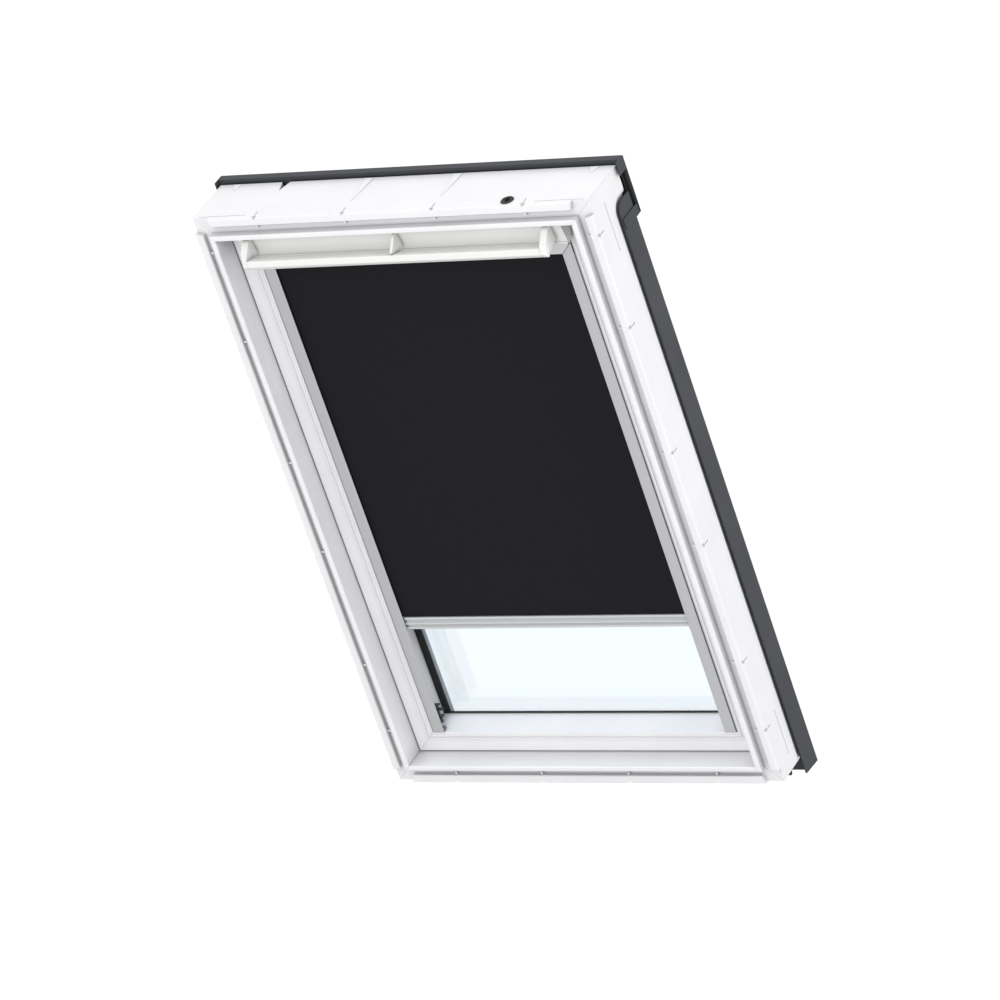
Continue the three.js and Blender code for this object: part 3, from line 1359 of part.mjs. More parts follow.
/** The ventilation flap, the control bar and the three pieces that carry it. */
function buildFlap() {
  const outer = flapFront(0);
  const inner = flapFront(FLAP_WALL);
  const lipInner = FLAP_BOTTOM + FLAP_WALL;
  const shellOutline = [
    [FLAP_BACK, FLAP_TOP - FLAP_WALL],
    [FLAP_BACK, FLAP_TOP],
    ...outer,
    [FLAP_LIP_FRONT, FLAP_BOTTOM + FLAP_LIP_HEIGHT],
    [FLAP_LIP_FRONT, FLAP_BOTTOM],
    [FLAP_FLOOR_BACK, FLAP_BOTTOM],
    [FLAP_FLOOR_BACK, lipInner],
    [FLAP_LIP_FRONT + FLAP_WALL * 2, lipInner],
    ...inner.reverse(),
  ];
  const endOutline = [
    [FLAP_BACK, FLAP_PIVOT_HEIGHT - FLAP_EAR_RADIUS],
    [FLAP_BACK, FLAP_TOP],
    ...outer,
    [FLAP_LIP_FRONT, FLAP_BOTTOM + FLAP_LIP_HEIGHT],
    [FLAP_LIP_FRONT, FLAP_BOTTOM],
    [FLAP_FLOOR_BACK, FLAP_BOTTOM],
  ];
  const end = alongX(endOutline, FLAP_HALF - FLAP_END_WALL, FLAP_HALF);
  const pinBore = bar(
    "x",
    FLAP_PIN_RADIUS + FIT,
    -FLAP_HALF - OVERRUN,
    FLAP_HALF + OVERRUN,
    [FLAP_PIVOT_DEPTH, FLAP_PIVOT_HEIGHT],
  );
  const shell = cut(join([alongX(shellOutline, -FLAP_HALF, FLAP_HALF), end, mirrored(end)]), [pinBore]);
  add("vent_flap", shell, FLAP_WHITE);

  const barOutline = BAR_OUTLINE_SHARES.map(([depth, height]) => [
    BAR_FRONT + BAR_DEPTH * depth,
    BAR_LOWER + BAR_HEIGHT * height,
  ]);
  const barHalf = BAR_HALF - CARRIER_END_WIDTH - FIT;
  add("control_bar", alongX(barOutline, -barHalf, barHalf), FLAP_WHITE);

  const frontLine = CARRIER_FRONT_SHARES.map(([depth, height]) => [
    BAR_FRONT + (FLAP_CREST - BAR_FRONT) * depth * 0.8,
    BAR_LOWER + BAR_HEIGHT + (CARRIER_TOP - BAR_LOWER - BAR_HEIGHT) * height,
  ]);
  const flapLine = flapFront(-FIT)
    .filter(([, z]) => z > CARRIER_HEEL && z < CARRIER_TOP)
    .map(([y, z]) => [y - FIT, z]);
  const webTop = [FLAP_CREST - FIT * 3, CARRIER_TOP];
  const barTop = barOutline.slice(2, 6).map(([y, z]) => [y, z + FIT * 2]);
  const middleOutline = [...frontLine, webTop, ...flapLine, ...barTop.slice().reverse()];
  add(
    "bar_web_middle",
    alongX(middleOutline, -CARRIER_MIDDLE_WIDTH / 2, CARRIER_MIDDLE_WIDTH / 2),
    FLAP_WHITE,
  );
  const underBar = barOutline.slice(10);
  const endOutlineArm = [...frontLine, webTop, ...flapLine, ...underBar.filter(([, z]) => z < CARRIER_HEEL)];
  const arm = alongX(endOutlineArm, BAR_HALF - CARRIER_END_WIDTH, BAR_HALF);
  const corner = alongZ(
    [
      [BAR_HALF + OVERRUN, BAR_FRONT - OVERRUN],
      [BAR_HALF + OVERRUN, BAR_FRONT + CARRIER_ROUND],
      ...arc(BAR_HALF - CARRIER_ROUND, BAR_FRONT + CARRIER_ROUND, CARRIER_ROUND, 0, -1),
      [BAR_HALF - CARRIER_ROUND, BAR_FRONT - OVERRUN],
    ],
    BAR_LOWER - OVERRUN,
    CARRIER_TOP + OVERRUN,
  );
  addPair("bar_arm", cut(arm, [corner]), FLAP_WHITE);
}

/** The blind's casing with its ends, brackets, tube, plugs and wound fabric. */
function buildBlindHead() {
  const front = SASH_FRONT + APRON_THICKNESS + FIT;
  const outline = [
    [BLIND_FRONT, CASING_LOWER],
    [BLIND_FRONT, CASING_LIP_UPPER],
    [front, CASING_LIP_UPPER],
    [front, CASING_UPPER],
    [CASING_BACK, CASING_UPPER],
    [CASING_BACK, CASING_LOWER],
    [CASING_SLOT_BACK, CASING_LOWER],
    [CASING_SLOT_BACK, CASING_LOWER + CASING_WALL],
    [CASING_BACK - CASING_WALL, CASING_LOWER + CASING_WALL],
    [CASING_BACK - CASING_WALL, CASING_UPPER - CASING_WALL],
    [front + CASING_WALL, CASING_UPPER - CASING_WALL],
    [front + CASING_WALL, CASING_LIP_UPPER - CASING_WALL],
    [BLIND_FRONT + CASING_WALL, CASING_LIP_UPPER - CASING_WALL],
    [BLIND_FRONT + CASING_WALL, CASING_LOWER],
  ];
  const lean = CASING_LIP_UPPER - CASING_LOWER;
  const mitreCut = alongY(
    [
      [CHANNEL_INNER, CASING_LOWER - OVERRUN],
      [CHANNEL_INNER, CASING_LOWER],
      [CHANNEL_INNER + lean, CASING_LIP_UPPER],
      [CHANNEL_INNER + lean, CASING_LOWER - OVERRUN],
    ],
    BLIND_FRONT - OVERRUN,
    BLIND_FRONT + CASING_WALL + FIT,
  );
  const casing = cut(alongX(outline, -CASING_HALF, CASING_HALF), [mitreCut, mirrored(mitreCut)]);
  add("blind_casing", casing, CHANNEL_GREY);

  const endInner = CASING_HALF + FIT;
  addPair(
    "casing_end",
    block(endInner, endInner + CASING_END, front, CASING_BACK, CASING_LOWER, CASING_UPPER),
    CHANNEL_GREY,
  );
  addPair(
    "blind_bracket",
    block(
      endInner + CASING_END + FIT,
      SASH_REVEAL - FIT,
      BRACKET_FRONT,
      BRACKET_BACK,
      BRACKET_LOWER,
      BRACKET_UPPER,
    ),
    STEEL,
  );

  const axle = [ROLL_PLACE, ROLL_HEIGHT];
  const tube = cut(bar("x", TUBE_RADIUS, -TUBE_HALF, TUBE_HALF, axle), [
    bar("x", TUBE_RADIUS - TUBE_WALL, -TUBE_HALF - OVERRUN, TUBE_HALF + OVERRUN, axle),
  ]);
  add("roller_tube", tube, CHANNEL_GREY);
  const wound = cut(bar("x", ROLL_RADIUS, -FABRIC_HALF + PANE, FABRIC_HALF - PANE, axle), [
    bar("x", TUBE_RADIUS + FIT, -FABRIC_HALF, FABRIC_HALF, axle),
  ]);
  add("wound_fabric", wound, BLACKOUT);
  const plug = join([
    bar("x", TUBE_RADIUS - TUBE_WALL - FIT, TUBE_HALF - PLUG_LENGTH, TUBE_HALF + OVERRUN, axle),
    bar("x", PLUG_FLANGE_RADIUS, TUBE_HALF + FIT, endInner - FIT, axle),
  ]);
  add("idle_plug", plug, STEEL);
  add("spring_core", mirrored(plug), STEEL);
}

/** Height of the sill's slope at a depth. */
function sillHeight(depth) {
  return SILL_FRONT_HEIGHT + (depth - SILL_FRONT) * SILL_RISE_SHARE;
}

/** The hanging fabric with its bottom bar and runners, and the side channels. */
function buildBlindScreen() {
  add(
    "fabric",
    block(
      -FABRIC_HALF,
      FABRIC_HALF,
      FABRIC_FRONT,
      FABRIC_FRONT + FABRIC_THICKNESS,
      BOTTOM_BAR_UPPER + FIT,
      ROLL_HEIGHT,
    ),
    BLACKOUT,
  );
  const barHalf = CHANNEL_INNER - FIT;
  const barFace = BOTTOM_BAR_FACE_SHARES.map(([depth, fall]) => [
    BOTTOM_BAR_FRONT + BOTTOM_BAR_RELIEF * depth,
    BOTTOM_BAR_UPPER - BOTTOM_BAR_HEIGHT * fall,
  ]);
  const barOutline = [
    [BOTTOM_BAR_FRONT + BOTTOM_BAR_DEPTH, BOTTOM_BAR_UPPER],
    ...barFace,
    [BOTTOM_BAR_FRONT + BOTTOM_BAR_DEPTH, BOTTOM_BAR_UPPER - BOTTOM_BAR_HEIGHT],
  ];
  add("bottom_bar", alongX(barOutline, -barHalf, barHalf), CHANNEL_GREY);
  const insideFront = BLIND_FRONT + CHANNEL_WALL + FIT;
  const insideBack = BLIND_FRONT + CHANNEL_DEPTH - CHANNEL_WALL - FIT;
  const runnerTop = BOTTOM_BAR_UPPER - (BOTTOM_BAR_HEIGHT - RUNNER_HEIGHT) / 2;
  addPair(
    "bar_runner",
    block(
      CHANNEL_INNER,
      CHANNEL_INNER + RUNNER_LENGTH,
      insideFront,
      insideBack,
      runnerTop - RUNNER_HEIGHT,
      runnerTop,
    ),
    RUBBER_BLACK,
  );

  const back = BLIND_FRONT + CHANNEL_DEPTH;
  const channelOutline = [
    [CHANNEL_INNER, BLIND_FRONT],
    [CHANNEL_HALF, BLIND_FRONT],
    [CHANNEL_HALF, back],
    [CHANNEL_INNER + CHANNEL_BACK_INSET, back],
    [CHANNEL_INNER + CHANNEL_BACK_INSET, back - CHANNEL_WALL],
    [CHANNEL_HALF - CHANNEL_WALL, back - CHANNEL_WALL],
    [CHANNEL_HALF - CHANNEL_WALL, BLIND_FRONT + CHANNEL_WALL],
    [CHANNEL_INNER, BLIND_FRONT + CHANNEL_WALL],
  ];
  const channelTop = CASING_LOWER - FIT;
  const tongueInner = CHANNEL_INNER + FIT * 2;
  const tongue = alongY(
    [
      [tongueInner, channelTop - OVERRUN],
      [CHANNEL_HALF, channelTop - OVERRUN],
      [CHANNEL_HALF, channelTop + CHANNEL_HALF - tongueInner],
      [tongueInner, channelTop],
    ],
    BLIND_FRONT,
    BLIND_FRONT + CHANNEL_WALL - FIT,
  );
  const underSill = alongX(
    [
      [BLIND_FRONT - OVERRUN, SILL_FRONT_HEIGHT - CHANNEL_DEPTH],
      [back + OVERRUN, SILL_FRONT_HEIGHT - CHANNEL_DEPTH],
      [back + OVERRUN, sillHeight(back + OVERRUN) + FIT],
      [SILL_FRONT, SILL_FRONT_HEIGHT + FIT],
      [BLIND_FRONT - OVERRUN, SILL_FRONT_HEIGHT + FIT],
    ],
    -HALF_WIDTH,
    HALF_WIDTH,
  );
  const channel = join([alongZ(channelOutline, SILL_FRONT_HEIGHT - OVERRUN, channelTop), tongue]);
  addPair("side_channel", cut(channel, [underSill]), CHANNEL_GREY);
  const stopLower = sillHeight(insideBack) + FIT;
  addPair(
    "channel_end_stop",
    block(
      CHANNEL_INNER,
      CHANNEL_HALF - CHANNEL_WALL - FIT,
      insideFront,
      insideBack,
      stopLower,
      stopLower + END_STOP_HEIGHT,
    ),
    RUBBER_BLACK,
  );
}

buildFrame();
buildFrameFittings();
buildFrameCovers();
buildSash();
buildGlazing();
buildSashCovers();
buildSashFittings();
buildFlap();
buildBlindHead();
buildBlindScreen();

roofWindow.position.set(0, -SEAT_INSET, HALF_HEIGHT);
const root = new THREE.Group();
root.add(roofWindow);

export default root;
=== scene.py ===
"""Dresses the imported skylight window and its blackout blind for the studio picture.

The CAD frame is loaded first and stays fixed. Each sub-assembly is a class that holds its sizes in
metres, builds the meshes that show finer form than the solids, and gives every piece its finish.
"""

from __future__ import annotations

import logging
import math
import sys
from dataclasses import dataclass
from enum import Enum
from typing import Callable, Iterable, Sequence

import bmesh
import bpy
from mathutils import Matrix, Vector

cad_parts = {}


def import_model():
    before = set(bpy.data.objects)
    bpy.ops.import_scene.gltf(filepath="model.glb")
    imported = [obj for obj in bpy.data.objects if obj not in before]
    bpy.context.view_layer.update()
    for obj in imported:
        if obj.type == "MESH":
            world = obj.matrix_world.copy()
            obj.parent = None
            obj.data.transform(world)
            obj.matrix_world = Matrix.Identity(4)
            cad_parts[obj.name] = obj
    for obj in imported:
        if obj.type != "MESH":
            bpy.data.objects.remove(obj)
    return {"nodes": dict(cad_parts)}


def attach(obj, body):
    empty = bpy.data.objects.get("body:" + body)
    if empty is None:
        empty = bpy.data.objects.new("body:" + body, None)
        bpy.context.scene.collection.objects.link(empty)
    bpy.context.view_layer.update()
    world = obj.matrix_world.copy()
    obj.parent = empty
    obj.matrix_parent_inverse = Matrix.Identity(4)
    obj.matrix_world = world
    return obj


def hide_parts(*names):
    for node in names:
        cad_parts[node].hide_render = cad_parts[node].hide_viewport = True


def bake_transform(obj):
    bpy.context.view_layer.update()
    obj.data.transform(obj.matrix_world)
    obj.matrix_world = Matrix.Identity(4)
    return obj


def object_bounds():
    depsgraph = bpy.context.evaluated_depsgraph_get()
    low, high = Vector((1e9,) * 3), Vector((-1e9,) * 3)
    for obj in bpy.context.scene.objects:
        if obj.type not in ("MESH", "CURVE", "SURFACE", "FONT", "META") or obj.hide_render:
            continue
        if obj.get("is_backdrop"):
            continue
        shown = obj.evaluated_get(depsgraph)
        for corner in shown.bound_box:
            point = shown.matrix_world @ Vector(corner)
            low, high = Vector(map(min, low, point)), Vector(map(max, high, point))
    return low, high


LOG = logging.getLogger("skylight")

MM = 0.001
Point = tuple[float, float, float]
Pair = tuple[float, float]
Tree = bpy.types.NodeTree
Node = bpy.types.Node
Socket = bpy.types.NodeSocket

WHITE = (1.0, 1.0, 1.0, 1.0)
FULL_BYTE = 255
# The sRGB curve: a straight toe, and a power above it.
SRGB_TOE = 0.04045
SRGB_SLOPE = 12.92
SRGB_LIFT = 0.055
SRGB_POWER = 2.4

# Points nearer than this are one point.
SAME_POINT = 0.001 * MM
# The broken edges: how far seams weld, the chords of a round, and the least angle of an edge.
WELD_REACH = 0.02 * MM
EDGE_CHORDS = 2
EDGE_ANGLE = math.radians(30)
FLAT_FACE_WEIGHT = 80

# The part of its range in which a noise mostly lies.
NOISE_SPAN: Pair = (0.3, 0.7)
HOLLOW_SAMPLES = 8


# Small tools


def srgb(code: str) -> tuple[float, float, float, float]:
    """Turns an sRGB hex value into linear colour.

    Args:
        code: six hex digits, such as "F4F4F6".

    Returns:
        The linear red, green, blue and an alpha of 1.
    """
    parts = [int(code[i : i + 2], 16) / FULL_BYTE for i in (0, 2, 4)]
    linear = [
        c / SRGB_SLOPE if c <= SRGB_TOE else ((c + SRGB_LIFT) / (1 + SRGB_LIFT)) ** SRGB_POWER
        for c in parts
    ]
    return (linear[0], linear[1], linear[2], 1.0)


def add_node(
    tree: Tree,
    kind: str,
    settings: dict[str | int, object] | None = None,
    links: dict[str | int, Socket] | None = None,
) -> Node:
    """Adds a node with its settings and links.

    Args:
        tree: the node tree that gets the node.
        kind: the node's type name.
        settings: values by input name or number, or by property name where no input has it.
        links: output sockets by the name or number of the input that they feed.

    Returns:
        The new node.
    """
    node = tree.nodes.new(kind)
    for name, value in (settings or {}).items():
        if isinstance(name, int) or (name in node.inputs and not hasattr(node, name)):
            node.inputs[name].default_value = value
        else:
            setattr(node, name, value)
    for name, source in (links or {}).items():
        tree.links.new(source, node.inputs[name])
    return node


def mesh_object(
    name: str, points: Sequence[Point], faces: Sequence[Sequence[int]]
) -> bpy.types.Object:
    """Makes a mesh object in the scene.

    Args:
        name: the piece's name.
        points: the corners in metres.
        faces: the corner numbers of each face.

    Returns:
        The new object, with its faces turned outward.
    """
    mesh = bpy.data.meshes.new(name)
    mesh.from_pydata([tuple(p) for p in points], [], [tuple(f) for f in faces])
    work = bmesh.new()
    work.from_mesh(mesh)
    bmesh.ops.remove_doubles(work, verts=work.verts, dist=SAME_POINT)
    bmesh.ops.recalc_face_normals(work, faces=work.faces)
    work.to_mesh(mesh)
    work.free()
    made = bpy.data.objects.new(name, mesh)
    bpy.context.scene.collection.objects.link(made)
    return made


def soften(obj: bpy.types.Object, width: float) -> None:
    """Breaks a piece's edges as moulding or handling does, without moving its own vertices.

    Args:
        obj: the piece.
        width: the width of the broken edge in metres.
    """
    for face in obj.data.polygons:
        face.use_smooth = True
    weld = obj.modifiers.new("weld", "WELD")
    weld.merge_threshold = WELD_REACH
    bevel = obj.modifiers.new("edges", "BEVEL")
    bevel.width = width
    bevel.segments = EDGE_CHORDS
    bevel.limit_method = "ANGLE"
    bevel.angle_limit = EDGE_ANGLE
    bevel.use_clamp_overlap = True
    bevel.miter_outer = "MITER_ARC"
    normals = obj.modifiers.new("normals", "WEIGHTED_NORMAL")
    normals.weight = FLAT_FACE_WEIGHT
    normals.keep_sharp = True


def dress(obj: bpy.types.Object, material: bpy.types.Material) -> None:
    """Gives a piece one material."""
    obj.data.materials.clear()
    obj.data.materials.append(material)


# Finishes


@dataclass(frozen=True)
class Finish:
    """A surface as its maker leaves it. The base holds what the shader's own sockets need."""

    name: str
    colour: str
    roughness: float
    metallic: float = 0.0
    ior: float = 1.5

    def build(self) -> bpy.types.Material:
        """Makes the material, with its pattern.

        Returns:
            The new material.
        """
        material = bpy.data.materials.new(self.name)
        material.use_nodes = True
        tree = material.node_tree
        shader = tree.nodes["Principled BSDF"]
        shader.inputs["Base Color"].default_value = srgb(self.colour)
        shader.inputs["Roughness"].default_value = self.roughness
        shader.inputs["Metallic"].default_value = self.metallic
        if self.metallic == 0:
            shader.inputs["IOR"].default_value = self.ior
        self.pattern(tree, shader)
        return material

    def pattern(self, tree: Tree, shader: Node) -> None:
        """Adds what breaks the plain surface. The base has nothing."""


@dataclass(frozen=True)
class DriftingFinish(Finish):
    """A finish whose colour and gloss drift a little over the surface, as real ones do.

    The painted shade is pairs: the reach in metres of an occlusion test, and the share by which
    the colour is darkened where grooves, corners and gaps shut out light, as painted shade.
    """

    tint: str = "F2F2F4"
    gloss: Pair = (-0.05, 0.06)
    # Painted shade: pairs of occlusion reach and the share by which the colour darkens.
    painted_shade: tuple[Pair, ...] = ()

    def place(self, tree: Tree, pitch: Point) -> Socket:
        """Divides the object's coordinates by a real size along each axis.

        Args:
            tree: the material's tree.
            pitch: the pattern's size along X, Y and Z in metres.

        Returns:
            The scaled coordinates.
        """
        where = add_node(tree, "ShaderNodeTexCoord")
        scaled = add_node(
            tree,
            "ShaderNodeMapping",
            {"Scale": tuple(1 / p for p in pitch)},
            {"Vector": where.outputs["Object"]},
        )
        return scaled.outputs["Vector"]

    def mottle_and_paint_shade(self, tree: Tree, shader: Node, noise: Socket) -> None:
        """Lets the colour and the roughness drift with a noise, and paints shade into grooves and
        corners.

        Args:
            tree: the material's tree.
            shader: the surface shader.
            noise: the noise's factor.
        """
        blend = add_node(tree, "ShaderNodeValToRGB", links={"Fac": noise})
        tints = (self.colour, self.tint)
        for stop, spot, tint in zip(blend.color_ramp.elements, NOISE_SPAN, tints):
            stop.position = spot
            stop.color = srgb(tint)
        colour = blend.outputs["Color"]
        # Painted shade: an ambient-occlusion test darkens the colour in grooves, corners and gaps,
        # within each reach and by each share.
        for width, share in self.painted_shade:
            occlusion_test = add_node(
                tree,
                "ShaderNodeAmbientOcclusion",
                {"samples": HOLLOW_SAMPLES, "Distance": width},
            )
            depth = add_node(
                tree, "ShaderNodeMapRange", {"To Min": 1 - share}, {"Value": occlusion_test.outputs["AO"]}
            )
            shade_painted = add_node(
                tree,
                "ShaderNodeVectorMath",
                {"operation": "SCALE"},
                {0: colour, "Scale": depth.outputs["Result"]},
            )
            colour = shade_painted.outputs["Vector"]
        tree.links.new(colour, shader.inputs["Base Color"])
        smooth, rough = (self.roughness + step for step in self.gloss)
        spread = add_node(
            tree,
            "ShaderNodeMapRange",
            {
                "From Min": NOISE_SPAN[0],
                "From Max": NOISE_SPAN[1],
                "To Min": smooth,
                "To Max": rough,
            },
            {"Value": noise},
        )
        tree.links.new(spread.outputs["Result"], shader.inputs["Roughness"])

    def relief(
        self, tree: Tree, shader: Node, height: Socket, depth: float, strength: float
    ) -> None:
        """Raises the surface by a height pattern.

        Args:
            tree: the material's tree.
            shader: the surface shader.
            height: the pattern's height, from 0 to 1.
            depth: the pattern's real depth in metres.
            strength: how much of it shows.
        """
        bump = add_node(
            tree, "ShaderNodeBump", {"Strength": strength, "Distance": depth}, {"Height": height}
        )
        tree.links.new(bump.outputs["Normal"], shader.inputs["Normal"])


@dataclass(frozen=True)
class MouldedPolyurethane(DriftingFinish):
    """Foamed polyurethane or plastic out of a steel mould: a satin face with a fine even grain."""

    drift: float = 90 * MM
    grain: float = 1.6 * MM
    grain_depth: float = 0.06 * MM
    grain_strength: float = 0.35

    def pattern(self, tree: Tree, shader: Node) -> None:
        """The mould's fine grain, drawn coarser than it is to show, and slow drifts of its gloss.

        Args:
            tree: the material's tree.
            shader: the surface shader.
        """
        slow = add_node(
            tree,
            "ShaderNodeTexNoise",
            {"Scale": 1.0, "Detail": 2.0},
            {"Vector": self.place(tree, (self.drift,) * 3)},
        )
        self.mottle_and_paint_shade(tree, shader, slow.outputs["Fac"])
        grain = add_node(
            tree,
            "ShaderNodeTexNoise",
            {"Scale": 1.0, "Detail": 3.0, "Roughness": 0.6},
            {"Vector": self.place(tree, (self.grain,) * 3)},
        )
        self.relief(tree, shader, grain.outputs["Fac"], self.grain_depth, self.grain_strength)


@dataclass(frozen=True)
class PowderCoat(DriftingFinish):
    """Powder baked on sheet or extrusion: even colour over a shallow orange peel."""

    gloss: Pair = (-0.04, 0.05)
    shine: float = 0.5
    drift: float = 120 * MM
    peel: float = 2.2 * MM
    peel_depth: float = 0.05 * MM
    peel_strength: float = 0.3

    def pattern(self, tree: Tree, shader: Node) -> None:
        """The orange peel, as wide as it is in thick powder, and a slow drift of the colour.

        Args:
            tree: the material's tree.
            shader: the surface shader.
        """
        shader.inputs["Specular IOR Level"].default_value = self.shine
        slow = add_node(
            tree,
            "ShaderNodeTexNoise",
            {"Scale": 1.0, "Detail": 2.0},
            {"Vector": self.place(tree, (self.drift,) * 3)},
        )
        self.mottle_and_paint_shade(tree, shader, slow.outputs["Fac"])
        peel = add_node(
            tree,
            "ShaderNodeTexVoronoi",
            {"Scale": 1.0, "feature": "SMOOTH_F1", "Smoothness": 1.0},
            {"Vector": self.place(tree, (self.peel,) * 3)},
        )
        self.relief(tree, shader, peel.outputs["Distance"], self.peel_depth, self.peel_strength)


@dataclass(frozen=True)
class SealingRubber(DriftingFinish):
    """Extruded sealing rubber: near black and dull, under a dusty bloom."""

    tint: str = "1C1C1E"
    gloss: Pair = (-0.08, 0.1)
    bloom: float = 14 * MM
    skin: float = 1.5 * MM
    skin_depth: float = 0.05 * MM
    skin_strength: float = 0.4

    def pattern(self, tree: Tree, shader: Node) -> None:
        """The bloom in patches of about a centimetre, and the die's dull skin.

        Args:
            tree: the material's tree.
            shader: the surface shader.
        """
        bloom = add_node(
            tree,
            "ShaderNodeTexNoise",
            {"Scale": 1.0, "Detail": 4.0},
            {"Vector": self.place(tree, (self.bloom,) * 3)},
        )
        self.mottle_and_paint_shade(tree, shader, bloom.outputs["Fac"])
        skin = add_node(
            tree,
            "ShaderNodeTexNoise",
            {"Scale": 1.0, "Detail": 2.0},
            {"Vector": self.place(tree, (self.skin,) * 3)},
        )
        self.relief(tree, shader, skin.outputs["Fac"], self.skin_depth, self.skin_strength)


@dataclass(frozen=True)
class ZincPlate(DriftingFinish):
    """Zinc plated steel: a cool metal with a faint spangle from the bath."""

    tint: str = "A3A6AB"
    gloss: Pair = (-0.06, 0.1)
    spangle: float = 3.5 * MM

    def pattern(self, tree: Tree, shader: Node) -> None:
        """The spangle, a few millimetres across.

        Args:
            tree: the material's tree.
            shader: the surface shader.
        """
        spangle = add_node(
            tree,
            "ShaderNodeTexVoronoi",
            {"Scale": 1.0, "feature": "F1"},
            {"Vector": self.place(tree, (self.spangle,) * 3)},
        )
        self.mottle_and_paint_shade(tree, shader, spangle.outputs["Distance"])


class Run(Enum):
    """Which way an extrusion lies in the window."""

    ACROSS = "across"
    UPRIGHT = "upright"


@dataclass(frozen=True)
class AnodisedAluminium(DriftingFinish):
    """Etched and anodised extrusion: a satin grey metal with die lines along its length."""

    tint: str = "B9B9BB"
    gloss: Pair = (-0.05, 0.08)
    # Shade painted into grooves within 5 mm, darkening the colour by up to 70 per cent.
    painted_shade: tuple[Pair, ...] = ((5 * MM, 0.7),)
    run: Run = Run.UPRIGHT
    line: float = 1.1 * MM
    line_run: float = 400 * MM
    line_depth: float = 0.03 * MM
    line_strength: float = 0.3

    def pattern(self, tree: Tree, shader: Node) -> None:
        """Die lines, drawn a millimetre apart to show, which run the extrusion's length.

        Args:
            tree: the material's tree.
            shader: the surface shader.
        """
        pitch = {
            Run.ACROSS: (self.line_run, self.line, self.line),
            Run.UPRIGHT: (self.line, self.line, self.line_run),
        }[self.run]
        lines = add_node(
            tree,
            "ShaderNodeTexNoise",
            {"Scale": 1.0, "Detail": 3.0},
            {"Vector": self.place(tree, pitch)},
        )
        self.mottle_and_paint_shade(tree, shader, lines.outputs["Fac"])
        self.relief(tree, shader, lines.outputs["Fac"], self.line_depth, self.line_strength)


@dataclass(frozen=True)
class FloatGlass(Finish):
    """Clear float glass: sharp reflections and the faint cool tint of its edges."""

    def pattern(self, tree: Tree, shader: Node) -> None:
        """Clear all through, and unshadowed so that daylight passes as it does in the real pane.

        Args:
            tree: the material's tree.
            shader: the surface shader.
        """
        shader.inputs["Transmission Weight"].default_value = 1.0
        light = add_node(tree, "ShaderNodeLightPath")
        clear = add_node(tree, "ShaderNodeBsdfTransparent", {"Color": srgb(self.colour)})
        mixed = add_node(
            tree,
            "ShaderNodeMixShader",
            links={
                "Fac": light.outputs["Is Shadow Ray"],
                1: shader.outputs["BSDF"],
                2: clear.outputs["BSDF"],
            },
        )
        tree.links.new(mixed.outputs["Shader"], tree.nodes["Material Output"].inputs["Surface"])


@dataclass(frozen=True)
class BlackoutCloth(DriftingFinish):
    """Plain-woven polyester, foam coated on its back so that no light passes: dull and even."""

    tint: str = "1D1C21"
    gloss: Pair = (-0.1, 0.0)
    shine: float = 0.15
    fuzz: float = 0.02
    fuzz_roughness: float = 0.5
    thread: float = 1.8 * MM
    # The coordinate has to run over this many threads for each wave to be one thread.
    threads: float = 3.14
    thread_depth: float = 0.08 * MM
    thread_strength: float = 0.25

    def pattern(self, tree: Tree, shader: Node) -> None:
        """Warp and weft, whose real threads lie 0.4 mm apart, drawn coarser so that they show.

        Args:
            tree: the material's tree.
            shader: the surface shader.
        """
        shader.inputs["Specular IOR Level"].default_value = self.shine
        shader.inputs["Sheen Weight"].default_value = self.fuzz
        shader.inputs["Sheen Roughness"].default_value = self.fuzz_roughness
        warp, weft = (
            add_node(
                tree,
                "ShaderNodeTexWave",
                {"Scale": 1.0, "Distortion": 0.6, "Detail": 1.0, "bands_direction": axis},
                {"Vector": self.place(tree, (self.thread * self.threads,) * 3)},
            )
            for axis in ("X", "Z")
        )
        over = add_node(
            tree,
            "ShaderNodeMath",
            {"operation": "MULTIPLY"},
            {0: warp.outputs["Fac"], 1: weft.outputs["Fac"]},
        )
        self.mottle_and_paint_shade(tree, shader, over.outputs["Value"])
        self.relief(
            tree, shader, over.outputs["Value"], self.thread_depth, self.thread_strength
        )


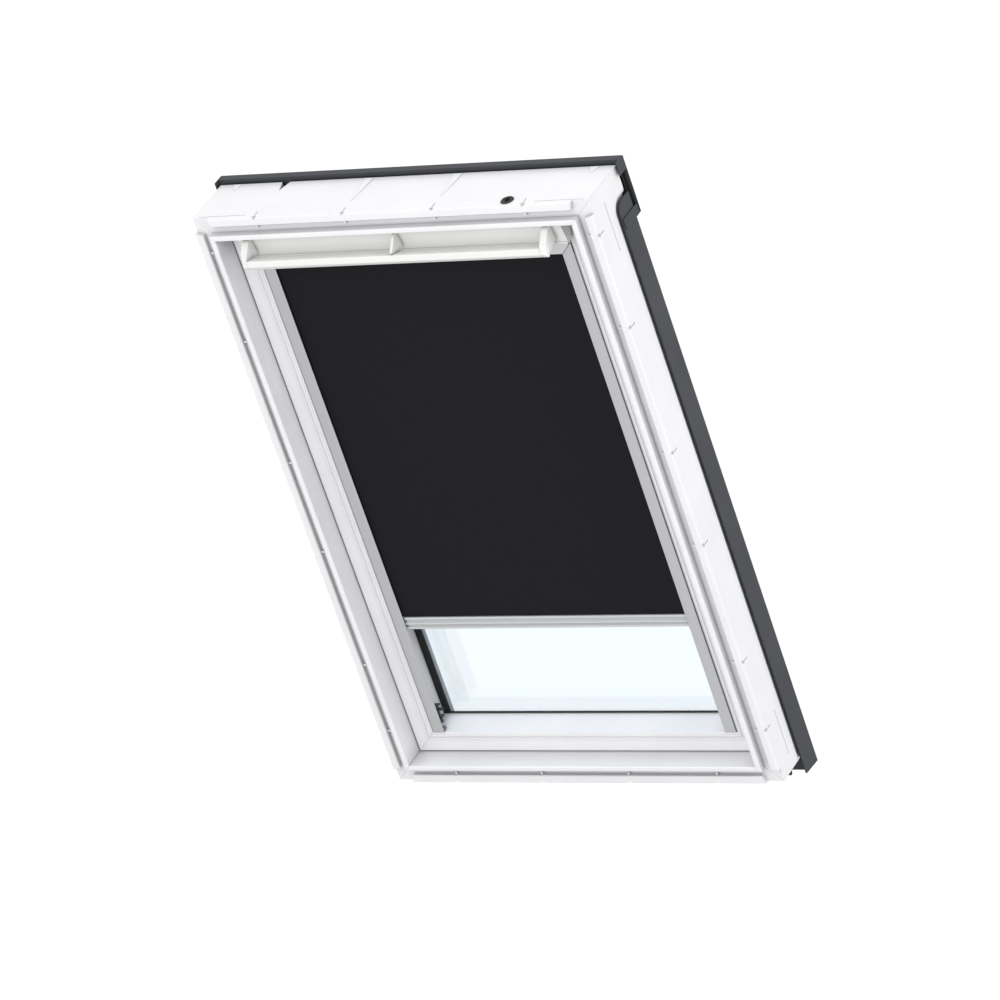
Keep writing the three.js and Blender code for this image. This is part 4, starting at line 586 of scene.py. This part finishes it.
class Surface(Enum):
    """The finishes of this window, by the real material."""

    # The moulded skin of the outer frame: a clean satin white, with shade painted into its deep
    # groove and corners.
    FRAME = MouldedPolyurethane(
        "frame_polyurethane",
        "EEEEF0",
        0.42,
        tint="EAEAEC",
        painted_shade=((36 * MM, 0.5), (5 * MM, 0.25)),
    )
    # The same skin on the sash, a shade greyer, with shade painted into the narrow joints so that
    # they draw as thin lines.
    SASH = MouldedPolyurethane(
        "sash_polyurethane",
        "E8E8EA",
        0.4,
        tint="E4E4E7",
        painted_shade=((30 * MM, 0.15), (5 * MM, 0.6)),
    )
    # White powder on the flap's extrusions: a touch warmer and glossier than the moulded skin, with
    # shade painted into its corners and recesses.
    FLAP = PowderCoat(
        "flap_powder_coat",
        "E9E9E7",
        0.36,
        tint="E6E6E4",
        painted_shade=((36 * MM, 0.2), (8 * MM, 0.6)),
    )
    # Dark grey powder on the roof side's sheet covers: matt, with shade painted darker into the
    # folds.
    COVER = PowderCoat(
        "cover_powder_coat",
        "424448",
        0.55,
        tint="3F4145",
        shine=0.2,
        painted_shade=((8 * MM, 0.7),),
    )
    # The covers under the hood: the covers' powder coat painted near black for the shade under the
    # hood.
    COVER_IN_PAINTED_SHADE = PowderCoat("inner_cover_painted_shade", "161618", 0.55, tint="121214")
    # Black rubber: a dull line between glass, sash and frame.
    RUBBER = SealingRubber("sealing_rubber", "141416", 0.7)
    # Bright zinc on the fittings: cool and faintly mottled.
    STEEL = ZincPlate("zinc_plated_steel", "B4B6BA", 0.35, metallic=1.0)
    # Passivated zinc on the barrel bolt: the same metal, smoky grey.
    DARK_STEEL = ZincPlate("dark_zinc_steel", "6E7075", 0.45, metallic=1.0, tint="5E6065")
    # The spacer between the panes: flat grey, seen through glass.
    SPACER = AnodisedAluminium("glazing_spacer", "989B9E", 0.5, tint="8F9295", painted_shade=())
    # The side channels: satin metal with upright lines, and shade painted into the dark mouth.
    CHANNEL = AnodisedAluminium("channel_aluminium", "BDBDBF", 0.42, metallic=0.85)
    # The bottom bar and the casing: brighter metal, with shade painted into the grooves so that
    # they read as dark lines.
    RAIL = AnodisedAluminium(
        "rail_aluminium",
        "CFD1D3",
        0.3,
        metallic=0.5,
        tint="C8CACC",
        run=Run.ACROSS,
        painted_shade=((9 * MM, 0.9), (4 * MM, 0.7)),
    )
    # Clear panes, with a cool breath where they are seen edge on.
    GLASS = FloatGlass("float_glass", "F8FCFF", 0.0, ior=1.52)
    # The blackout cloth: a soft black without a highlight.
    CLOTH = BlackoutCloth("blackout_cloth", "141318", 0.9, tint="18171C")
    # Grey ABS of the runners, plugs and end stops: satin plastic.
    MOULDED_GREY = MouldedPolyurethane("grey_abs", "6C6D70", 0.5, tint="66676A")


class Paintbox:
    """Builds each finish once and hands it out."""

    def __init__(self) -> None:
        """Starts with no material made."""
        self._made: dict[Surface, bpy.types.Material] = {}

    def __call__(self, surface: Surface) -> bpy.types.Material:
        """Hands out a finish, which is made at its first use.

        Args:
            surface: the finish.

        Returns:
            Its material.
        """
        if surface not in self._made:
            self._made[surface] = surface.value.build()
        return self._made[surface]


# Studio


@dataclass(frozen=True)
class Lamp:
    """A square soft lamp that faces the window's middle, with its power in watts."""

    name: str
    place: Point
    power: float
    size: float = 2.4
    aim: Point = (0.0, 0.0, 0.6)

    def hang(self) -> None:
        """Makes the lamp and turns it to its aim."""
        data = bpy.data.lights.new(self.name, "AREA")
        data.shape = "SQUARE"
        data.size = self.size
        data.energy = self.power
        made = bpy.data.objects.new(self.name, data)
        bpy.context.scene.collection.objects.link(made)
        aim = Vector(self.aim) - Vector(self.place)
        turn = aim.to_track_quat("-Z", "Y").to_matrix().to_4x4()
        made.matrix_world = Matrix.Translation(Vector(self.place)) @ turn


@dataclass
class Studio:
    """The camera, the floor and the light.

    The camera stands where the photograph's did, with the window upright in the row frame.
    """

    place: Point = (5.6840, -8.0795, 5.8231)
    right: Point = (0.8614, 0.4142, -0.2939)
    forward: Point = (-0.5075, 0.7230, -0.4687)
    lens: float = 233.964
    sensor: float = 36.0
    near: float = 0.1
    far: float = 200.0
    floor_half: float = 30.0
    floor_gap: float = 2 * MM
    floor_colour: str = "A6A6A6"
    floor_roughness: float = 0.9
    # The white that the eye sees on the floor, and its share over the shadow.
    floor_glow: float = 1.12
    floor_glow_share: float = 0.9
    # The surround as it is seen, and as it lights the window.
    surround_seen: float = 1.0
    surround_light: float = 0.84
    lamps: tuple[Lamp, ...] = (
        Lamp("front_lamp", (0.6, -5.2, 1.2), 62.0),
        Lamp("high_lamp", (0.4, -4.2, 3.8), 54.0),
        Lamp("right_lamp", (4.8, -0.6, 1.4), 68.0),
        Lamp("left_lamp", (-4.8, -1.0, 1.4), 24.0),
        Lamp("rear_lamp", (0.4, 4.8, 3.0), 98.0),
        Lamp("rear_right_lamp", (4.0, 3.0, 2.6), 20.0),
    )

    def camera(self) -> None:
        """Makes the camera and hands it to the scene."""
        data = bpy.data.cameras.new("camera")
        data.lens = self.lens
        data.sensor_width = self.sensor
        data.clip_start = self.near
        data.clip_end = self.far
        made = bpy.data.objects.new("camera", data)
        bpy.context.scene.collection.objects.link(made)
        ahead = Vector(self.forward).normalized()
        side = Vector(self.right)
        side = (side - ahead * side.dot(ahead)).normalized()
        up = side.cross(ahead).normalized()
        turn = Matrix((side, up, -ahead)).transposed()
        made.matrix_world = Matrix.Translation(Vector(self.place)) @ turn.to_4x4()
        bpy.context.scene.camera = made

    def floor(self, lowest: float) -> None:
        """Lays the pale floor.

        Args:
            lowest: the height in metres of the window's lowest point.
        """
        h = self.floor_half
        height = lowest - self.floor_gap
        made = mesh_object(
            "floor",
            [(-h, -h, height), (h, -h, height), (h, h, height), (-h, h, height)],
            [(0, 1, 2, 3)],
        )
        material = bpy.data.materials.new("floor_paper")
        material.use_nodes = True
        tree = material.node_tree
        shader = tree.nodes["Principled BSDF"]
        shader.inputs["Base Color"].default_value = srgb(self.floor_colour)
        shader.inputs["Roughness"].default_value = self.floor_roughness
        glow = add_node(
            tree, "ShaderNodeEmission", {"Color": WHITE, "Strength": self.floor_glow}
        )
        share = add_node(
            tree,
            "ShaderNodeMath",
            {"operation": "MULTIPLY", 1: self.floor_glow_share},
            {0: self.sighted(tree)},
        )
        mixed = add_node(
            tree,
            "ShaderNodeMixShader",
            links={
                "Fac": share.outputs["Value"],
                1: shader.outputs["BSDF"],
                2: glow.outputs["Emission"],
            },
        )
        tree.links.new(mixed.outputs["Shader"], tree.nodes["Material Output"].inputs["Surface"])
        dress(made, material)
        made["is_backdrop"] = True

    def sighted(self, tree: Tree) -> Socket:
        """Tells what the eye sees from the light that falls.

        Args:
            tree: the tree of the floor or of the surround.

        Returns:
            One where the eye, a mirror or a pane looks on, and zero for the light that falls.
        """
        path = add_node(tree, "ShaderNodeLightPath")
        total: Socket = path.outputs["Is Camera Ray"]
        for kind in ("Is Glossy Ray", "Is Transmission Ray"):
            either = add_node(
                tree, "ShaderNodeMath", {"operation": "MAXIMUM"}, {0: total, 1: path.outputs[kind]}
            )
            total = either.outputs["Value"]
        return total

    def light(self) -> None:
        """Lights the window softly from the room and from behind its glass, in a white surround."""
        world = bpy.data.worlds.new("surround")
        bpy.context.scene.world = world
        world.use_nodes = True
        tree = world.node_tree
        tree.nodes.clear()
        seen, lit = (
            add_node(tree, "ShaderNodeBackground", {"Color": WHITE, "Strength": strength})
            for strength in (self.surround_seen, self.surround_light)
        )
        mixed = add_node(
            tree,
            "ShaderNodeMixShader",
            links={
                "Fac": self.sighted(tree),
                1: lit.outputs["Background"],
                2: seen.outputs["Background"],
            },
        )
        add_node(tree, "ShaderNodeOutputWorld", links={"Surface": mixed.outputs["Shader"]})
        for lamp in self.lamps:
            lamp.hang()
        bpy.context.scene.view_settings.view_transform = "Standard"


# The window's sub-assemblies


@dataclass
class Dressing:
    """What every sub-assembly shares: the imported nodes, the finishes and the broken edges."""

    nodes: dict[str, bpy.types.Object]
    paint: Paintbox
    crisp_edge: float = 0.3 * MM
    plain_edge: float = 0.4 * MM
    easy_edge: float = 0.5 * MM

    def keep(self, names: Iterable[str], surface: Surface, edge: float | None) -> None:
        """Gives CAD nodes a finish and breaks their edges.

        Args:
            names: the nodes' names.
            surface: their finish.
            edge: the width of the broken edge in metres, or None for facets left as they are.
        """
        for name in names:
            obj = self.nodes[name]
            dress(obj, self.paint(surface))
            if edge is not None:
                soften(obj, edge)
            LOG.info("dressed %s", name)

    def fit(
        self,
        obj: bpy.types.Object,
        body: str,
        surface: Surface,
        replaces: Sequence[str] = (),
        slot: str | None = None,
    ) -> bpy.types.Object:
        """Sets a new piece on its body.

        Args:
            obj: the new piece.
            body: the CAD body that it rides on.
            surface: its finish.
            replaces: the CAD nodes that it stands for.
            slot: the record's material slot, which is not used.

        Returns:
            The same piece.
        """
        dress(obj, self.paint(surface))
        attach(obj, body)
        if replaces:
            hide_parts(*replaces)
        LOG.info("made %s on %s", obj.name, body)
        return obj

    def points(self, name: str) -> list[Vector]:
        """Where a CAD node's points lie, in metres."""
        node = self.nodes[name]
        return [node.matrix_world @ vertex.co for vertex in node.data.vertices]

    def recut(
        self,
        name: str,
        piece: str,
        body: str,
        surface: Surface,
        shift: Callable[[Vector], Point],
    ) -> bpy.types.Object:
        """Makes a finer piece out of a CAD node, with its points shifted by a rule.

        Args:
            name: the CAD node, which the piece stands for.
            piece: the piece's name.
            body: the CAD body that it rides on.
            surface: its finish.
            shift: gives a point's new place.

        Returns:
            The new piece.
        """
        faces = [list(face.vertices) for face in self.nodes[name].data.polygons]
        made = mesh_object(piece, [shift(point) for point in self.points(name)], faces)
        soften(made, self.easy_edge)
        return self.fit(made, body, surface, [name])


@dataclass
class OuterFrame(Dressing):
    """The fixed frame, with its fittings and the covers on its roof side."""

    def build(self) -> None:
        """Dresses the frame's own nodes."""
        self.keep(
            ["frame_top_rail", "frame_bottom_rail", "frame_stile_right", "frame_stile_left"],
            Surface.FRAME,
            self.crisp_edge,
        )
        self.keep(["frame_gasket", "cable_grommet"], Surface.RUBBER, self.crisp_edge)
        self.keep(
            ["striker_plate", "bolt_bush", "pivot_plate_right", "pivot_plate_left"],
            Surface.STEEL,
            self.crisp_edge,
        )
        self.keep(
            [
                "frame_side_cover_right",
                "frame_side_cover_left",
                "hood",
                "hood_clip_right",
                "hood_clip_left",
                "frame_bottom_cover",
            ],
            Surface.COVER,
            self.easy_edge,
        )
        self.keep(
            ["upper_inner_cover_right", "upper_inner_cover_left"],
            Surface.COVER_IN_PAINTED_SHADE,
            self.easy_edge,
        )


@dataclass
class Sash(Dressing):
    """The sash, its double glazing, its covers and its fittings."""

    cover_cut: float = 10.2 * MM

    def build(self) -> None:
        """Dresses the sash's own nodes."""
        self.keep(
            ["sash_stile_right", "sash_stile_left", "sash_top_rail", "sash_bottom_rail"],
            Surface.SASH,
            self.plain_edge,
        )
        self.keep(["inner_pane", "outer_pane"], Surface.GLASS, None)
        self.keep(["spacer_bar"], Surface.SPACER, self.crisp_edge)
        self.keep(["glazing_gasket"], Surface.RUBBER, self.plain_edge)
        self.keep(
            ["sash_cover_right", "sash_cover_left", "sash_cover_top"],
            Surface.COVER,
            self.easy_edge,
        )
        self.lower_cover()
        self.keep(["bolt_bracket", "barrel_bolt"], Surface.DARK_STEEL, self.crisp_edge)
        self.keep(
            [
                "pivot_bush_right",
                "pivot_bush_left",
                "lock_case",
                "latch_bolt",
                "flap_hinge_right",
                "flap_hinge_left",
            ],
            Surface.STEEL,
            self.crisp_edge,
        )

    def lower_cover(self) -> None:
        """The sash's lower cover, cut back so that from the room the pane's edge hides it."""
        heights = [point.z for point in self.points("sash_cover_bottom")]
        middle = (min(heights) + max(heights)) / 2

        def shift(point: Vector) -> Point:
            """Lowers the cover's inner edge."""
            return point.x, point.y, point.z - self.cover_cut if point.z > middle else point.z

        self.recut("sash_cover_bottom", "sash_lower_cover", "sash", Surface.COVER, shift)


@dataclass
class VentFlap(Dressing):
    """The ventilation flap and the control bar in front of it."""

    nose_share: float = 0.45
    upper_setback: float = 2.2 * MM
    lower_setback: float = 5.0 * MM
    nose_depth: float = 6.7 * MM
    carrier_run: float = 29.6 * MM

    def build(self) -> None:
        """Dresses the flap, and cuts the bar and its carriers to their finer outline."""
        self.keep(["vent_flap"], Surface.FLAP, self.plain_edge)
        for name, piece in (
            ("control_bar", "control_wing"),
            ("bar_web_middle", "bar_carrier_middle"),
            ("bar_arm_right", "bar_carrier_right"),
            ("bar_arm_left", "bar_carrier_left"),
        ):
            self.recut(name, piece, "flap", Surface.FLAP, self.outline())

    def outline(self) -> Callable[[Vector], Point]:
        """Draws the bar's nose, set back above and below, and its carriers' straight edge.

        Returns:
            The rule that gives a point's place on this outline.
        """
        bar = self.points("control_bar")
        front = min(point.y for point in bar)
        lower = min(point.z for point in bar)
        crown = max(point.z for point in bar)
        rise = max(point.z for point in self.points("bar_web_middle")) - crown

        def shift(point: Vector) -> Point:
            """Sets a point on the finer outline.

            Args:
                point: its place on the solid.

            Returns:
                Its new place.
            """
            if point.z > crown:
                edge = front + self.carrier_run * (point.z - crown) / rise
                return point.x, max(point.y, edge), point.z
            away = (point.z - lower) / (crown - lower) - self.nose_share
            setback = self.upper_setback if away > 0 else self.lower_setback
            fade = max(0.0, 1 - (point.y - front) / self.nose_depth)
            back = setback * min(1.0, abs(away) / self.nose_share) * fade
            return point.x, point.y + back, point.z

        return shift


@dataclass
class Blind(Dressing):
    """The blackout blind: casing, roll, hanging cloth, bottom bar and channels."""

    cloth_half: float = 298.5 * MM
    cloth_depth: float = 26.2 * MM
    cloth_thickness: float = 0.225 * MM
    cloth_columns: int = 24
    cloth_rows: int = 40
    hem_height: float = 327.3 * MM
    # Where the hanging cloth is cut, as shares of its drop.
    cloth_cuts: tuple[float, ...] = (0.0, 0.2, 0.8, 1.0)
    ease_halvings: int = 40
    roll_axis: Pair = (39.9 * MM, 1078 * MM)
    roll_inner: float = 11.35 * MM
    roll_pitch: float = 0.32 * MM
    roll_turns: int = 5
    roll_chords: int = 28
    roll_inset: float = 4 * MM
    roll_thickness: float = 0.2 * MM

    def build(self) -> None:
        """Makes the cloth and dresses the rest."""
        self.keep(
            ["side_channel_right", "side_channel_left"], Surface.CHANNEL, self.crisp_edge
        )
        self.keep(
            ["blind_casing", "casing_end_right", "casing_end_left", "roller_tube", "bottom_bar"],
            Surface.RAIL,
            self.crisp_edge,
        )
        self.keep(["blind_bracket_right", "blind_bracket_left"], Surface.STEEL, self.crisp_edge)
        self.keep(
            [
                "idle_plug",
                "spring_core",
                "bar_runner_right",
                "bar_runner_left",
                "channel_end_stop_right",
                "channel_end_stop_left",
            ],
            Surface.MOULDED_GREY,
            self.crisp_edge,
        )
        self.hanging_cloth()
        self.wound_cloth()

    def ease(self, share: float) -> float:
        """Args:
            share: how far the turn has come, from 0 to 1.

        Returns:
            The place on the blend's stretch, from 0 to 1.
        """
        low, high = 0.0, 1.0
        for _ in range(self.ease_halvings):
            middle = (low + high) / 2
            if middle * middle * (3 - 2 * middle) < share:
                low = middle
            else:
                high = middle
        return (low + high) / 2

    def cloth_length(self, name: str, top: float, bottom: float, rows: int) -> bpy.types.Object:
        """Makes one closed length of the flat cloth.

        Args:
            name: the piece's name.
            top: the height of its upper edge in metres.
            bottom: the height of its lower edge in metres.
            rows: how many rows of faces it has.

        Returns:
            The new piece.
        """
        columns = self.cloth_columns
        wide = columns + 1
        layer = (rows + 1) * wide
        points: list[Point] = [
            (
                -self.cloth_half + 2 * self.cloth_half * c / columns,
                self.cloth_depth + side * self.cloth_thickness / 2,
                top + (bottom - top) * r / rows,
            )
            for side in (1, -1)
            for r in range(rows + 1)
            for c in range(wide)
        ]
        faces: list[list[int]] = []
        for r in range(rows):
            for c in range(columns):
                a = r * wide + c
                b = a + layer
                faces.append([a, a + 1, a + wide + 1, a + wide])
                faces.append([b, b + wide, b + wide + 1, b + 1])
        for r in range(rows):
            for a in (r * wide, r * wide + columns):
                faces.append([a, a + wide, a + wide + layer, a + layer])
        for c in range(columns):
            for a in (c, rows * wide + c):
                faces.append([a, a + 1, a + 1 + layer, a + layer])
        return mesh_object(name, points, faces)

    def hanging_cloth(self) -> None:
        """The cloth between the roll and the bottom bar.

        It is cut in three lengths that meet edge to edge. The ease of each cut is worked out but
        not used.
        """
        roll_height = self.roll_axis[1]
        drop = roll_height - self.hem_height
        for i, (upper, lower) in enumerate(zip(self.cloth_cuts, self.cloth_cuts[1:])):
            top = roll_height - drop * upper
            bottom = roll_height - drop * lower
            rows = round((lower - upper) * self.cloth_rows)
            piece = self.cloth_length(f"blackout_cloth_{i + 1}", top, bottom, rows)
            dress(piece, self.paint(Surface.CLOTH))
            start_share, end_share = self.ease(upper), self.ease(lower)
            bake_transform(piece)
            if i == 0:
                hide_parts("fabric")
            LOG.info("made %s between sash and blind", piece.name)

    def wound_cloth(self) -> None:
        """The cloth still on the tube: one strip wound in a close spiral."""
        half = self.cloth_half - self.roll_inset
        depth, height = self.roll_axis
        profile: list[Pair] = []
        for i in range(self.roll_turns * self.roll_chords + 1):
            turn = i / self.roll_chords
            radius = self.roll_inner + self.roll_pitch * turn
            angle = 2 * math.pi * turn
            profile.append((depth + radius * math.cos(angle), height + radius * math.sin(angle)))
        points: list[Point] = [(x, y, z) for x in (-half, half) for y, z in profile]
        count = len(profile)
        faces = [[i, i + 1, i + 1 + count, i + count] for i in range(count - 1)]
        piece = mesh_object("cloth_roll", points, faces)
        solid = piece.modifiers.new("thickness", "SOLIDIFY")
        solid.thickness = self.roll_thickness
        solid.offset = 0.0
        self.fit(piece, "roller", Surface.CLOTH, ["wound_fabric"], "blackout_cloth")


def main() -> None:
    """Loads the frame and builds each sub-assembly in turn."""
    logging.basicConfig(level=logging.INFO, format="%(message)s", stream=sys.stdout)
    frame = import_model()
    cad_low, cad_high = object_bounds()
    studio = Studio()
    studio.camera()
    studio.floor(cad_low.z)
    studio.light()
    paint = Paintbox()
    for part in (OuterFrame, Sash, VentFlap, Blind):
        part(frame["nodes"], paint).build()
        LOG.info("built %s", part.__name__)


if __name__ == "__main__":
    main()
